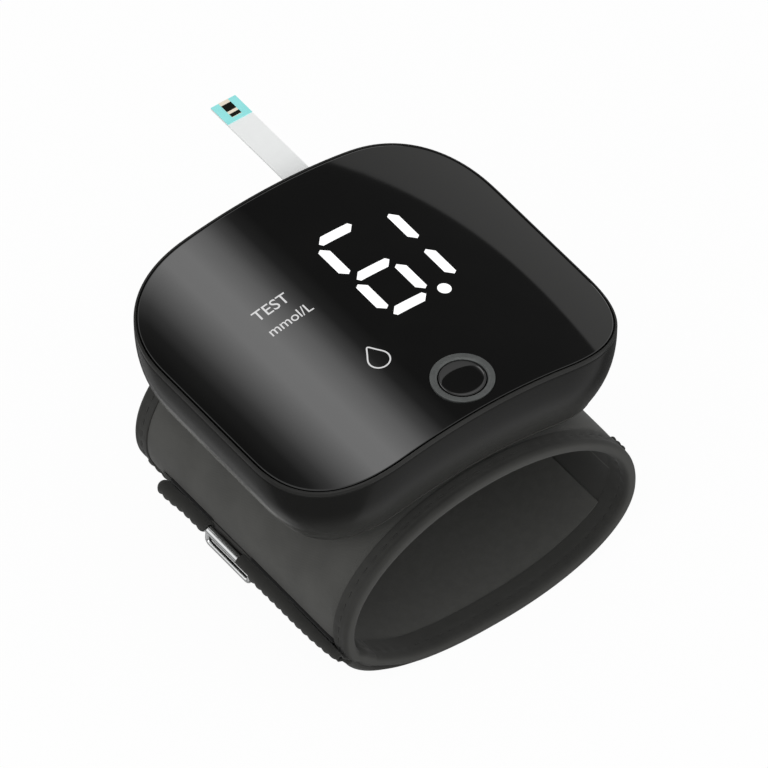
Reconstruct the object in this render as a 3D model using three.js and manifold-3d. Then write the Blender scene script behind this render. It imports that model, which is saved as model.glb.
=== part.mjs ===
// A blood glucose meter worn on the wrist: an arched glass-fronted housing that
// holds the display, the button and the strip socket, on a padded fabric cuff.
// Millimetres, +Z up. The arm runs along Y, the digits read along +X, and the
// test strip sticks out at +Y. The origin is the middle of the flat under the cuff.
import * as THREE from 'three';
import { mergeVertices } from 'three/addons/utils/BufferGeometryUtils.js';
import Module from 'manifold-3d';

const wasm = await Module();
wasm.setup();

// Cuff: outer section, length along the arm, and the layers of its wall
const CUFF_WIDTH = 71.8;
const CUFF_HEIGHT = 45;
const CUFF_LENGTH = 70.4;
const CUFF_WALL = 2.5;
const SHELL_THICKNESS = 1.6;
const BINDING_WIDTH = 4.6;
const BINDING_TAPE = 0.6;
const BINDING_EDGE = 1.2;
const REST_CUT = 0.5;
const WAIST_SHARE = 0.44;
const CROWN_ROUND_SHARE = 2.03;
const UNDER_ROUND_SHARE = 2.21;

// Housing: plan, arch of the glass, depth, and how far the bowl draws in
const METER_WIDTH = 82.4;
const METER_DEEP = 72.7;
const METER_HEIGHT = 20;
const METER_SHIFT_X = -2;
const METER_SHIFT_Y = 0.5;
const CORNER_REACH = 22.2;
const CORNER_MIN = 8;
const CORNER_ROUND_SHARE = 2.45;
const ARCH_RADIUS = 104;
const SEAT_RADIUS = 94;
const BOWL_SIDE = 6;
const BOWL_FRONT = 4;
const BOWL_SHARE = 2.33;
const HOUSING_WALL = 2;
const SEAT_GAP = 1.6;
const BASE_ROUND = 1.2;
const BASE_ROUND_SHARE = 0.3;

// Fits between pieces
const CLEARANCE = 0.3;
const FINE_GAP = 0.25;
const OVERRUN = 1;
const MERGE_REACH = 0.00002;

// Glass and the bezel frame that carries it
const LENS_THICKNESS = 1;
const LENS_CHAMFER = 0.2;
const BEZEL_LAND = 0.4;
const BEZEL_CHAMFER = 0.2;
const BEZEL_HEIGHT = 2;
const LEDGE_REACH = 4.5;
const LEDGE_THICKNESS = 1.3;
const SKIRT_THICKNESS = 1.3;
const SKIRT_DEPTH = 5;

// Housing screws, their posts under the bezel and their bosses in the floor
const SCREW_INSET_X = 15.2;
const SCREW_INSET_Y = 14.35;
const SCREW_RADIUS = 1;
const SCREW_HEAD_RADIUS = 1.9;
const SCREW_HEAD = 1.2;
const SCREW_LENGTH = 7;
const SCREW_DRIVE = 0.5;
const DRIVE_LONG_SHARE = 0.55;
const DRIVE_THIN_SHARE = 0.14;
const POST_RADIUS = 2.6;
const BOSS_HEIGHT = 3;
const TAB_WIDTH = 4.6;
const TAB_REACH = 9.6;
const TAB_THICKNESS = 2;

// Main board, its screws and its posts
const BOARD_DEPTH = 8;
const BOARD_THICKNESS = 1.2;
const BOARD_MARGIN_X = 10.2;
const BOARD_MARGIN_Y = 7.35;
const BOARD_NOTCH = 10.5;
const BOARD_POST_X = 20;
const BOARD_POST_Y = 17.5;
const BOARD_POST_RADIUS = 1.9;
const BOARD_HOLE_RADIUS = 1.25;
const BOARD_SCREW_RADIUS = 0.8;
const BOARD_SCREW_HEAD_RADIUS = 1.7;
const BOARD_SCREW_HEAD = 0.9;
const BOARD_HEAD_TAPER_SHARE = 0.9;
const BOARD_SCREW_LENGTH = 5;
const PILOT_GAP = 0.2;

// Light block of the display: two digits of seven wells and a point
const DIGIT_X = -0.75;
const DIGIT_Y = 6.5;
const DIGIT_PITCH = 17.4;
const DIGIT_WIDTH = 9.85;
const DIGIT_HEIGHT = 23.5;
const SEGMENT_LENGTH = 8.6;
const SEGMENT_WIDTH = 2.3;
const SEGMENT_SKEW = 0.75;
const POINT_RADIUS = 1.4;
const POINT_REACH = 3.5;
const BLOCK_HEIGHT = 3.2;
const BLOCK_MARGIN = 2;
const WELL_DEPTH = 2.6;
const FILM_THICKNESS = 0.3;

// Button: trim ring in the glass, cap, and the switch under it
const BUTTON_X = 0.6;
const BUTTON_Y = -27.3;
const RING_RADIUS = 6.4;
const RING_BORE = 4.95;
const RING_PROUD = 0.3;
const RING_FLANGE = 7;
const RING_FLANGE_THICKNESS = 0.6;
const CAP_RADIUS = 4.7;
const CAP_DROP = 0.25;
const CAP_DISH = 0.2;
const CAP_FLANGE = 5.9;
const CAP_FLANGE_THICKNESS = 0.7;
const CAP_STEM = 1.5;
const BUTTON_TRAVEL = 0.6;
const SWITCH_SIZE = 6;
const SWITCH_BODY = 2.2;
const SWITCH_KNOB = 1.4;
const SWITCH_RISE = 1.4;

// Strip socket and the test strip in it
const STRIP_X = 10.8;
const STRIP_DEPTH = 6;
const STRIP_WIDTH = 6;
const STRIP_THICKNESS = 0.4;
const STRIP_LENGTH = 36;
const STRIP_STOP = 4.75;
const TIP_LENGTH = 5.7;
const TIP_THICKNESS = 0.15;
const PAD_WIDTH = 2.3;
const PAD_THICKNESS = 0.05;
const GOLD_LENGTH = 4.7;
const PAD_ONE = 1;
const PAD_ONE_LENGTH = 1.9;
const PAD_TWO = 3.7;
const PAD_TWO_LENGTH = 0.9;
const PORT_WIDTH = 9.6;
const PORT_HEIGHT = 3.4;
const PORT_WALL = 0.8;
const PORT_ROUND_SHARE = 0.3;
const SOCKET_LENGTH = 8;
const SOCKET_WALL = 1;
const SOCKET_ROOM = 1.5;
const SOCKET_FLOOR = 1.1;
const CONTACT_WIDTH = 0.8;
const CONTACT_THICKNESS = 0.25;
const CONTACT_PITCH = 1.7;
const CONTACT_LENGTH = 4.4;
const CONTACT_BEND_SHARES = [0.3, 0.7];

// Power and sound
const BATTERY_WIDTH = 31;
const BATTERY_DEEP = 27;
const BATTERY_ROOM = 2.85;
const BATTERY_ROUND = 1.6;
const CELL_ROUND_SHARE = 0.35;
const TRAY_WALL = 1;
const TRAY_FLOOR = 0.9;
const TRAY_LIP = 3.6;
const TRAY_GAP_SHARE = 0.2;
const CHARGE_X = -14;
const CHARGE_DEPTH = 11;
const CHARGE_WIDTH = 9;
const CHARGE_HEIGHT = 3.2;
const CHARGE_WALL = 0.35;
const CHARGE_LENGTH = 7;
const CHARGE_ROUND_SHARE = 0.8;
const CHARGE_BORE_SHARE = 0.7;
const BUZZER_INSET = 7;
const BUZZER_Y = -9;
const BUZZER_RADIUS = 4.5;
const BUZZER_HEIGHT = 2.4;
const BUZZER_PORT = 0.9;
const CHIP_SIZE = 7;
const CHIP_HEIGHT = 1;
const CHIP_X = -16;
const CHIP_Y = -14;

// Saddle plate between the housing and the cuff
const SADDLE_WIDTH = 54;
const SADDLE_LENGTH = 46;
const SADDLE_SCREW_X = 22;
const SADDLE_WEB = 0.8;
const SADDLE_HEAD_RADIUS = 1.7;
const SADDLE_HEAD = 0.8;
const SADDLE_SCREW_LENGTH = 5;
const SADDLE_BOSS = 3;

// Closing strap at the lower left: loops, ring, flap and hook patch
const LOOP_TURN = 189.5;
const RING_BAR = 0.9;
const RING_WIRE = 0.55;
const RING_SPACING = 3.2;
const RING_LENGTH = 15;
const RING_CORNER = 1.1;
const RING_Y = 1.5;
const RING_STUB = 4;
const RING_STAND = 18;
const RING_SWING = 30;
const LOOP_WALL = 0.4;
const LOOP_FRONT_INSET = 6.5;
const LOOP_REAR_INSET = 11.2;
const COVER_LENGTH = 4.2;
const TAIL_THICKNESS = 1.3;
const TAIL_TURN = 207.5;
const FLAP_THICKNESS = 1;
const FLAP_FROM_TURN = 209;
const FLAP_TO_TURN = 236;
const PATCH_THICKNESS = 0.5;
const PATCH_MARGIN = 3;
const PATCH_MARGIN_TURN = 3;
const SWEEP_MARGIN = 55;
const SWEEP_REACH_SHARE = 3;

// Facets
const CORNER_STEPS = 8;
const SPAN_STEPS = 5;
const CUFF_STEPS = 52;
const ROUND_STEPS = 24;
const SMALL_STEPS = 14;
const WIRE_STEPS = 8;
const ROUNDING_STEPS = 4;
const SADDLE_STEPS = 20;
const LAYER_TURN = 3;
const FAN_SHARES = [0.12, 0.4, 0.7, 0.9];
const WALL_SHARES = [0.26, 0.42, 0.56, 0.69, 0.81, 0.91];
const INNER_WALL_SHARES = [0.2, 0.5, 0.75, 0.92];

const HALF = 0.5;
const TURN = Math.PI * 2;
const DEGREE = Math.PI / 180;

// Mesh and boolean helpers

// A closed body from rings of equal length, joined in order; the first and last
// ring are closed by a fan to their middle, or joined to each other on a loop.
function skin(rings, loops = false) {
  const size = rings[0].length;
  const points = rings.flat();
  const index = [];
  const spans = loops ? rings.length : rings.length - 1;
  for (let r = 0; r < spans; r += 1) {
    const low = r * size;
    const high = ((r + 1) % rings.length) * size;
    for (let i = 0; i < size; i += 1) {
      const j = (i + 1) % size;
      index.push(low + i, low + j, high + j);
      index.push(low + i, high + j, high + i);
    }
  }
  if (!loops) {
    const first = points.length;
    points.push(middle(rings[0]), middle(rings[rings.length - 1]));
    const top = (rings.length - 1) * size;
    for (let i = 0; i < size; i += 1) {
      const j = (i + 1) % size;
      index.push(first, j, i);
      index.push(first + 1, top + i, top + j);
    }
  }
  const geometry = new THREE.BufferGeometry();
  const flat = points.flatMap((p) => [p.x, p.y, p.z]);
  geometry.setAttribute('position', new THREE.Float32BufferAttribute(flat, 3));
  geometry.setIndex(index);
  return geometry;
}

function middle(ring) {
  const sum = new THREE.Vector3();
  ring.forEach((p) => sum.add(p));
  return sum.multiplyScalar(1 / ring.length);
}

// The same body with shared corners, no collapsed faces, and all faces pointing out
function sealed(geometry) {
  let plain = geometry.clone();
  plain.deleteAttribute('normal');
  plain.deleteAttribute('uv');
  plain = mergeVertices(plain, MERGE_REACH);
  const position = plain.getAttribute('position');
  const source = plain.getIndex().array;
  const index = [];
  let volume = 0;
  const [a, b, c] = [new THREE.Vector3(), new THREE.Vector3(), new THREE.Vector3()];
  for (let i = 0; i < source.length; i += 3) {
    const [p, q, r] = [source[i], source[i + 1], source[i + 2]];
    if (p !== q && q !== r && r !== p) {
      index.push(p, q, r);
      a.fromBufferAttribute(position, p);
      b.fromBufferAttribute(position, q);
      c.fromBufferAttribute(position, r);
      volume += a.dot(b.cross(c));
    }
  }
  if (volume < 0) {
    index.reverse();
  }
  plain.setIndex(index);
  return plain;
}

function toSolid(geometry) {
  const plain = sealed(geometry);
  const vertProperties = new Float32Array(plain.getAttribute('position').array);
  const triVerts = new Uint32Array(plain.getIndex().array);
  return new wasm.Manifold(new wasm.Mesh({ numProp: 3, vertProperties, triVerts }));
}

function toGeometry(solid) {
  const mesh = solid.getMesh();
  const geometry = new THREE.BufferGeometry();
  const stride = mesh.numProp;
  const count = mesh.vertProperties.length / stride;
  const flat = new Float32Array(count * 3);
  for (let i = 0; i < count; i += 1) {
    flat.set(mesh.vertProperties.subarray(i * stride, i * stride + 3), i * 3);
  }
  geometry.setAttribute('position', new THREE.Float32BufferAttribute(flat, 3));
  geometry.setIndex(Array.from(mesh.triVerts));
  return geometry;
}

// The first body with the second list joined on and the third list cut away
function carve(body, joined, removed) {
  let solid = toSolid(body);
  joined.forEach((piece) => {
    solid = solid.add(toSolid(piece));
  });
  removed.forEach((piece) => {
    solid = solid.subtract(toSolid(piece));
  });
  return toGeometry(solid);
}

function block(lowX, highX, lowY, highY, lowZ, highZ) {
  const box = new THREE.BoxGeometry(highX - lowX, highY - lowY, highZ - lowZ);
  box.translate((lowX + highX) * HALF, (lowY + highY) * HALF, (lowZ + highZ) * HALF);
  return box;
}

// An upright cylinder between two heights
function rod(x, y, radius, low, high, steps = SMALL_STEPS) {
  const body = new THREE.CylinderGeometry(radius, radius, high - low, steps);
  body.rotateX(Math.PI * HALF);
  body.translate(x, y, (low + high) * HALF);
  return body;
}

// A revolved body about an upright axis, from pairs of radius and height
function turnedBody(x, y, pairs, steps) {
  const profile = pairs.map(([radius, height]) => new THREE.Vector2(radius, height));
  const body = new THREE.LatheGeometry(profile, steps);
  body.rotateX(Math.PI * HALF);
  body.translate(x, y, 0);
  return body;
}

// A flat outline in X and Z carried along Y
function alongY(points, lowY, highY, hole) {
  const shape = new THREE.Shape(points.map(([x, z]) => new THREE.Vector2(x, z)));
  if (hole) {
    shape.holes.push(new THREE.Path(hole.map(([x, z]) => new THREE.Vector2(x, z))));
  }
  const body = new THREE.ExtrudeGeometry(shape, { depth: highY - lowY, bevelEnabled: false });
  body.rotateX(Math.PI * HALF);
  body.translate(0, highY, 0);
  return body;
}

// A flat outline in X and Y carried up Z
function upward(points, low, high, hole) {
  const shape = new THREE.Shape(points.map(([x, y]) => new THREE.Vector2(x, y)));
  if (hole) {
    shape.holes.push(new THREE.Path(hole.map(([x, y]) => new THREE.Vector2(x, y))));
  }
  const body = new THREE.ExtrudeGeometry(shape, { depth: high - low, bevelEnabled: false });
  body.translate(0, 0, low);
  return body;
}

function rectangle(halfX, halfY, round, steps = ROUNDING_STEPS) {
  const points = [];
  [[1, 1], [-1, 1], [-1, -1], [1, -1]].forEach(([signX, signY], quarter) => {
    for (let i = 0; i <= steps; i += 1) {
      const angle = (quarter + i / steps) * Math.PI * HALF;
      const x = signX * (halfX - round) + round * Math.cos(angle);
      points.push([x, signY * (halfY - round) + round * Math.sin(angle)]);
    }
  });
  return points;
}

function circle(x, y, radius, steps = SMALL_STEPS) {
  return Array.from({ length: steps }, (_, i) => {
    const angle = (i / steps) * TURN;
    return [x + radius * Math.cos(angle), y + radius * Math.sin(angle)];
  });
}

// Housing surfaces, about the crest of the glass

const archDrop = (x) => -(x * x) / (2 * ARCH_RADIUS);
const seatDrop = (x) => -(x * x) / (2 * SEAT_RADIUS);

// Plan outline: straight sides and corners that tighten like a squared ellipse.
// The front and rear sides are divided so that they follow the arch.
function plan(insetX, insetY) {
  const halfX = METER_WIDTH * HALF - insetX;
  const halfY = METER_DEEP * HALF - insetY;
  const corner = Math.max(CORNER_MIN, CORNER_REACH - (insetX + insetY) * HALF);
  const power = 2 / CORNER_ROUND_SHARE;
  const points = [];
  [[1, 1], [-1, 1], [-1, -1], [1, -1]].forEach(([signX, signY], quarter) => {
    for (let i = 0; i <= CORNER_STEPS; i += 1) {
      const forward = quarter % 2 === 0 ? i / CORNER_STEPS : 1 - i / CORNER_STEPS;
      const angle = forward * Math.PI * HALF;
      const x = halfX - corner + corner * Math.cos(angle) ** power;
      const y = halfY - corner + corner * Math.sin(angle) ** power;
      points.push(new THREE.Vector2(signX * x, signY * y));
    }
    if (quarter % 2 === 0) {
      const reach = halfX - corner;
      for (let i = 1; i < SPAN_STEPS; i += 1) {
        points.push(new THREE.Vector2(signX * reach * (1 - 2 * i / SPAN_STEPS), signY * halfY));
      }
    }
  });
  return points;
}

// A ring of the bowl at a depth under the glass, drawn in by an extra inset.
// Its arch passes from that of the glass to that of the seat on the cuff.
function bowlRing(depth, inset, share = 1) {
  const level = Math.max(depth, 0) / METER_HEIGHT;
  const drawn = level ** BOWL_SHARE;
  return plan(BOWL_SIDE * drawn + inset, BOWL_FRONT * drawn + inset).map((p) => {
    const x = p.x * share;
    const drop = archDrop(x) * (1 - level) + seatDrop(x) * level;
    return new THREE.Vector3(x, p.y * share, drop - depth);
  });
}

// A ring under the arch of the glass at a plain inset
function archRing(depth, inset, share = 1) {
  return plan(inset, inset).map((p) => {
    const x = p.x * share;
    return new THREE.Vector3(x, p.y * share, archDrop(x) - depth);
  });
}

function displayLens() {
  const inset = BEZEL_LAND + CLEARANCE;
  const under = FAN_SHARES.map((share) => archRing(LENS_THICKNESS, inset, share));
  const over = FAN_SHARES.map((share) => archRing(0, inset, share)).reverse();
  const edge = [
    archRing(LENS_THICKNESS, inset),
    archRing(LENS_CHAMFER, inset),
    archRing(0, inset + LENS_CHAMFER),
  ];
  const hole = rod(
    BUTTON_X, BUTTON_Y, RING_RADIUS + CLEARANCE, -LENS_THICKNESS - OVERRUN, OVERRUN, ROUND_STEPS,
  );
  return carve(skin([...under, ...edge, ...over]), [], [hole]);
}

// Where the four housing screws stand
const CORNERS = [[1, 1], [-1, 1], [-1, -1], [1, -1]];
const SCREW_X = METER_WIDTH * HALF - SCREW_INSET_X;
const SCREW_Y = METER_DEEP * HALF - SCREW_INSET_Y;
const SCREW_PLACES = CORNERS.map(([signX, signY]) => [signX * SCREW_X, signY * SCREW_Y]);

const SADDLE_SCREW_PLACES = [-SADDLE_SCREW_X, SADDLE_SCREW_X];
const FLOOR_DEPTH = METER_HEIGHT - HOUSING_WALL;
const screwFloor = seatDrop(SCREW_X) - METER_HEIGHT;
const HEAD_SEAT = screwFloor + SCREW_HEAD + CLEARANCE;
const BOSS_TOP = seatDrop(SCREW_X) - FLOOR_DEPTH + BOSS_HEIGHT;
const POST_END = BOSS_TOP + CLEARANCE;

function bezelFrame() {
  const ledgeTop = LENS_THICKNESS + CLEARANCE;
  const ledgeUnder = ledgeTop + LEDGE_THICKNESS;
  const skirtOut = HOUSING_WALL + CLEARANCE;
  const skirtIn = skirtOut + SKIRT_THICKNESS;
  const drawn = BOWL_SIDE * (SKIRT_DEPTH / METER_HEIGHT) ** BOWL_SHARE;
  const section = [
    [0, BEZEL_CHAMFER],
    [BEZEL_CHAMFER, 0],
    [BEZEL_LAND, 0],
    [BEZEL_LAND, ledgeTop],
    [LEDGE_REACH, ledgeTop],
    [LEDGE_REACH, ledgeUnder],
    [skirtIn, ledgeUnder],
    [skirtIn + drawn, SKIRT_DEPTH],
    [skirtOut + drawn, SKIRT_DEPTH],
    [skirtOut, BEZEL_HEIGHT],
    [0, BEZEL_HEIGHT],
  ];
  const ring = skin(section.map(([inset, depth]) => archRing(depth, inset)), true);
  const tabEnd = SCREW_X + (TAB_REACH + TAB_WIDTH * HALF) * Math.SQRT1_2;
  const tabTop = archDrop(tabEnd) - ledgeTop;
  const added = [];
  const removed = [];
  SCREW_PLACES.forEach(([x, y]) => {
    added.push(rod(x, y, POST_RADIUS, POST_END, tabTop));
    added.push(cornerTab(x, y, tabTop - TAB_THICKNESS, tabTop));
    const bore = SCREW_RADIUS + PILOT_GAP;
    removed.push(rod(x, y, bore, POST_END - OVERRUN, HEAD_SEAT + SCREW_LENGTH + CLEARANCE));
  });
  removed.push(rod(
    BUTTON_X, BUTTON_Y, RING_FLANGE + CLEARANCE, -SKIRT_DEPTH - OVERRUN, OVERRUN, ROUND_STEPS,
  ));
  removed.push(portHole(PORT_WIDTH, PORT_HEIGHT, STRIP_X, STRIP_DEPTH));
  return carve(ring, added, removed);
}

// The tab that carries a post out to the skirt in its corner
function cornerTab(x, y, low, high) {
  const tab = block(0, TAB_REACH, -TAB_WIDTH * HALF, TAB_WIDTH * HALF, low, high);
  tab.rotateZ(Math.atan2(Math.sign(y), Math.sign(x)));
  tab.translate(x, y, 0);
  return tab;
}

function lowerHousing() {
  const outerTop = BEZEL_HEIGHT + FINE_GAP;
  const floorUnder = FAN_SHARES.map((share) => bowlRing(METER_HEIGHT, BASE_ROUND, share));
  const base = [
    bowlRing(METER_HEIGHT, BASE_ROUND),
    bowlRing(METER_HEIGHT - BASE_ROUND * BASE_ROUND_SHARE, BASE_ROUND * BASE_ROUND_SHARE),
    bowlRing(METER_HEIGHT - BASE_ROUND, 0),
  ];
  const span = METER_HEIGHT - BASE_ROUND - outerTop;
  const walls = WALL_SHARES.map((share) => outerTop + span * share);
  const outside = [...walls].reverse().map((depth) => bowlRing(depth, 0));
  const insideSpan = FLOOR_DEPTH - outerTop;
  const inside = INNER_WALL_SHARES.map((share) => bowlRing(outerTop + insideSpan * share, HOUSING_WALL));
  const floorOver = FAN_SHARES.map((share) => bowlRing(FLOOR_DEPTH, HOUSING_WALL, share)).reverse();
  const shell = skin([
    ...floorUnder, ...base, ...outside,
    bowlRing(outerTop, 0), bowlRing(outerTop, HOUSING_WALL),
    ...inside, bowlRing(FLOOR_DEPTH, HOUSING_WALL), ...floorOver,
  ]);
  const added = [];
  const removed = [];
  SCREW_PLACES.forEach(([x, y]) => {
    added.push(rod(x, y, POST_RADIUS, screwFloor + HOUSING_WALL * HALF, BOSS_TOP));
    removed.push(rod(x, y, SCREW_RADIUS + CLEARANCE, screwFloor - OVERRUN, BOSS_TOP + OVERRUN));
    removed.push(rod(x, y, SCREW_HEAD_RADIUS + CLEARANCE, screwFloor - OVERRUN, HEAD_SEAT));
  });
  const postTop = -BOARD_DEPTH - BOARD_THICKNESS - CLEARANCE;
  CORNERS.forEach(([signX, signY]) => {
    const x = signX * BOARD_POST_X;
    const y = signY * BOARD_POST_Y;
    const foot = seatDrop(BOARD_POST_X) - METER_HEIGHT + HOUSING_WALL * HALF;
    added.push(rod(x, y, BOARD_POST_RADIUS, foot, postTop));
    const bore = BOARD_SCREW_RADIUS + PILOT_GAP;
    removed.push(rod(x, y, bore, postTop - BOARD_SCREW_LENGTH, postTop + OVERRUN));
  });
  SADDLE_SCREW_PLACES.forEach((place) => {
    const x = place - METER_SHIFT_X;
    const floor = seatDrop(x) - METER_HEIGHT;
    const top = floor + HOUSING_WALL + SADDLE_BOSS;
    added.push(rod(x, 0, POST_RADIUS, floor + HOUSING_WALL * HALF, top));
    removed.push(rod(x, 0, SCREW_RADIUS + PILOT_GAP, floor - OVERRUN, top - SCREW_RADIUS));
  });
  removed.push(portHole(PORT_WIDTH, PORT_HEIGHT, STRIP_X, STRIP_DEPTH));
  removed.push(portHole(
    CHARGE_WIDTH + CLEARANCE * 2, CHARGE_HEIGHT + CLEARANCE * 2, CHARGE_X, CHARGE_DEPTH,
  ));
  return carve(shell, added, removed);
}

// A round-ended hole through the rear wall
function portHole(width, height, x, depth) {
  const outline = rectangle(width * HALF, height * HALF, height * PORT_ROUND_SHARE);
  const placed = outline.map(([across, up]) => [x + across, up - depth]);
  const rear = METER_DEEP * HALF;
  return alongY(placed, rear - BOWL_FRONT - HOUSING_WALL - OVERRUN, rear + OVERRUN);
}

function housingScrew(x, y) {
  const low = HEAD_SEAT - SCREW_HEAD;
  const screw = turnedBody(x, y, [
    [0, low],
    [SCREW_HEAD_RADIUS, low],
    [SCREW_HEAD_RADIUS, HEAD_SEAT - CLEARANCE],
    [SCREW_RADIUS, HEAD_SEAT - CLEARANCE],
    [SCREW_RADIUS, HEAD_SEAT + SCREW_LENGTH - SCREW_RADIUS],
    [0, HEAD_SEAT + SCREW_LENGTH],
  ], SMALL_STEPS);
  return carve(screw, [], crossDrive(x, y, low, 1));
}

// The crossed recess in a screw head that faces down or up
function crossDrive(x, y, face, inward) {
  const depth = SCREW_DRIVE * inward;
  const low = Math.min(face - depth, face + depth);
  const high = Math.max(face - depth, face + depth);
  const long = SCREW_HEAD_RADIUS * DRIVE_LONG_SHARE;
  const thin = SCREW_HEAD_RADIUS * DRIVE_THIN_SHARE;
  return [
    block(x - long, x + long, y - thin, y + thin, low, high),
    block(x - thin, x + thin, y - long, y + long, low, high),
  ];
}

// Electronics

const BOARD_TOP = -BOARD_DEPTH;
const BOARD_UNDER = BOARD_TOP - BOARD_THICKNESS;
const BOARD_WIDTH = METER_WIDTH - BOARD_MARGIN_X * 2;
const BOARD_DEEP = METER_DEEP - BOARD_MARGIN_Y * 2;

function mainBoard() {
  const halfX = BOARD_WIDTH * HALF;
  const halfY = BOARD_DEEP * HALF;
  const stepX = halfX - BOARD_NOTCH;
  const stepY = halfY - BOARD_NOTCH;
  const outline = [
    [halfX, -stepY], [halfX, stepY], [stepX, stepY], [stepX, halfY],
    [-stepX, halfY], [-stepX, stepY], [-halfX, stepY], [-halfX, -stepY],
    [-stepX, -stepY], [-stepX, -halfY], [stepX, -halfY], [stepX, -stepY],
  ];
  const board = upward(outline, BOARD_UNDER, BOARD_TOP);
  const holes = CORNERS.map(([signX, signY]) => rod(
    signX * BOARD_POST_X, signY * BOARD_POST_Y, BOARD_HOLE_RADIUS,
    BOARD_UNDER - OVERRUN, BOARD_TOP + OVERRUN,
  ));
  return carve(board, [], holes);
}

function boardScrew(x, y) {
  const seat = BOARD_TOP + CLEARANCE * HALF;
  const screw = turnedBody(x, y, [
    [0, seat - BOARD_SCREW_LENGTH],
    [BOARD_SCREW_RADIUS, seat - BOARD_SCREW_LENGTH + BOARD_SCREW_RADIUS],
    [BOARD_SCREW_RADIUS, seat],
    [BOARD_SCREW_HEAD_RADIUS, seat],
    [BOARD_SCREW_HEAD_RADIUS * BOARD_HEAD_TAPER_SHARE, seat + BOARD_SCREW_HEAD],
    [0, seat + BOARD_SCREW_HEAD],
  ], SMALL_STEPS);
  return carve(screw, [], crossDrive(x, y, seat + BOARD_SCREW_HEAD, -1));
}

// One bar of a digit, pointed at both ends
function segment(x, y, upright, low, high) {
  const long = SEGMENT_LENGTH * HALF;
  const wide = SEGMENT_WIDTH * HALF;
  const tip = SEGMENT_SKEW;
  const outline = [
    [long, 0], [long - tip, wide], [tip - long, wide],
    [-long, 0], [tip - long, -wide], [long - tip, -wide],
  ];
  const placed = outline.map(([along, across]) => (
    upright ? [x - across, y + along] : [x + along, y + across]
  ));
  return upward(placed, low, high);
}

// The seven bars of a digit whose lower left bar stands at x
function digitWells(x, low, high) {
  const centre = x + DIGIT_WIDTH * HALF;
  const half = DIGIT_HEIGHT * HALF;
  const flat = [-1, 0, 1].map((row) => segment(centre, DIGIT_Y + row * half, false, low, high));
  const upright = [[-1, -1], [-1, 1], [1, -1], [1, 1]].map(([side, row]) => segment(
    centre + side * DIGIT_WIDTH * HALF, DIGIT_Y + row * half * HALF, true, low, high,
  ));
  return [...flat, ...upright];
}

const BLOCK_LOW_X = DIGIT_X - SEGMENT_WIDTH * HALF - BLOCK_MARGIN;
const BLOCK_HIGH_X = DIGIT_X + DIGIT_PITCH + SEGMENT_WIDTH * HALF + BLOCK_MARGIN;
const BLOCK_HALF_Y = DIGIT_HEIGHT * HALF + SEGMENT_WIDTH * HALF + BLOCK_MARGIN;
const BLOCK_TOP = BOARD_TOP + CLEARANCE + BLOCK_HEIGHT;

// White block whose wells shape the light of each bar
function digitReflector() {
  const low = BOARD_TOP + CLEARANCE;
  const body = block(
    BLOCK_LOW_X, BLOCK_HIGH_X, DIGIT_Y - BLOCK_HALF_Y, DIGIT_Y + BLOCK_HALF_Y, low, BLOCK_TOP,
  );
  const wellLow = BLOCK_TOP - WELL_DEPTH;
  const wellHigh = BLOCK_TOP + OVERRUN;
  const half = DIGIT_HEIGHT * HALF;
  const second = [-1, 1].map((row) => segment(
    DIGIT_X + DIGIT_PITCH, DIGIT_Y + row * half * HALF, true, wellLow, wellHigh,
  ));
  const point = rod(
    DIGIT_X + DIGIT_WIDTH + POINT_REACH, DIGIT_Y - half, POINT_RADIUS, wellLow, wellHigh,
  );
  return carve(body, [], [...digitWells(DIGIT_X, wellLow, wellHigh), ...second, point]);
}

// Diffusing film that lies over the wells
function displayFilm() {
  const low = BLOCK_TOP + CLEARANCE;
  return block(
    BLOCK_LOW_X, BLOCK_HIGH_X, DIGIT_Y - BLOCK_HALF_Y, DIGIT_Y + BLOCK_HALF_Y,
    low, low + FILM_THICKNESS,
  );
}

function controlChip() {
  const half = CHIP_SIZE * HALF;
  const low = BOARD_TOP + CLEARANCE * HALF;
  return block(
    CHIP_X - half, CHIP_X + half, CHIP_Y - half, CHIP_Y + half, low, low + CHIP_HEIGHT,
  );
}

// Button: the stack of flanges under the glass, from the top down

const RING_SEAT = archDrop(RING_FLANGE) - LENS_THICKNESS - CLEARANCE;
const CAP_SEAT = RING_SEAT - RING_FLANGE_THICKNESS - CLEARANCE;
const CAP_LOW = CAP_SEAT - CAP_FLANGE_THICKNESS;
const SWITCH_LOW = BOARD_TOP + CLEARANCE * HALF;
const KNOB_TOP = SWITCH_LOW + SWITCH_BODY + SWITCH_RISE;

function tactSwitch() {
  const half = SWITCH_SIZE * HALF;
  const top = SWITCH_LOW + SWITCH_BODY;
  const body = block(
    BUTTON_X - half, BUTTON_X + half, BUTTON_Y - half, BUTTON_Y + half, SWITCH_LOW, top,
  );
  return carve(body, [rod(BUTTON_X, BUTTON_Y, SWITCH_KNOB, top - CLEARANCE, KNOB_TOP)], []);
}

// Trim ring: its land stands a little proud of the glass, its flange lies under it
function buttonRing() {
  const round = RING_PROUD * HALF;
  return turnedBody(BUTTON_X, BUTTON_Y, [
    [RING_BORE, RING_SEAT - RING_FLANGE_THICKNESS],
    [RING_FLANGE, RING_SEAT - RING_FLANGE_THICKNESS],
    [RING_FLANGE, RING_SEAT],
    [RING_RADIUS, RING_SEAT],
    [RING_RADIUS, RING_PROUD - round],
    [RING_RADIUS - round, RING_PROUD],
    [RING_BORE + round, RING_PROUD],
    [RING_BORE, RING_PROUD - round],
    [RING_BORE, RING_SEAT - RING_FLANGE_THICKNESS],
  ], ROUND_STEPS);
}

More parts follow.
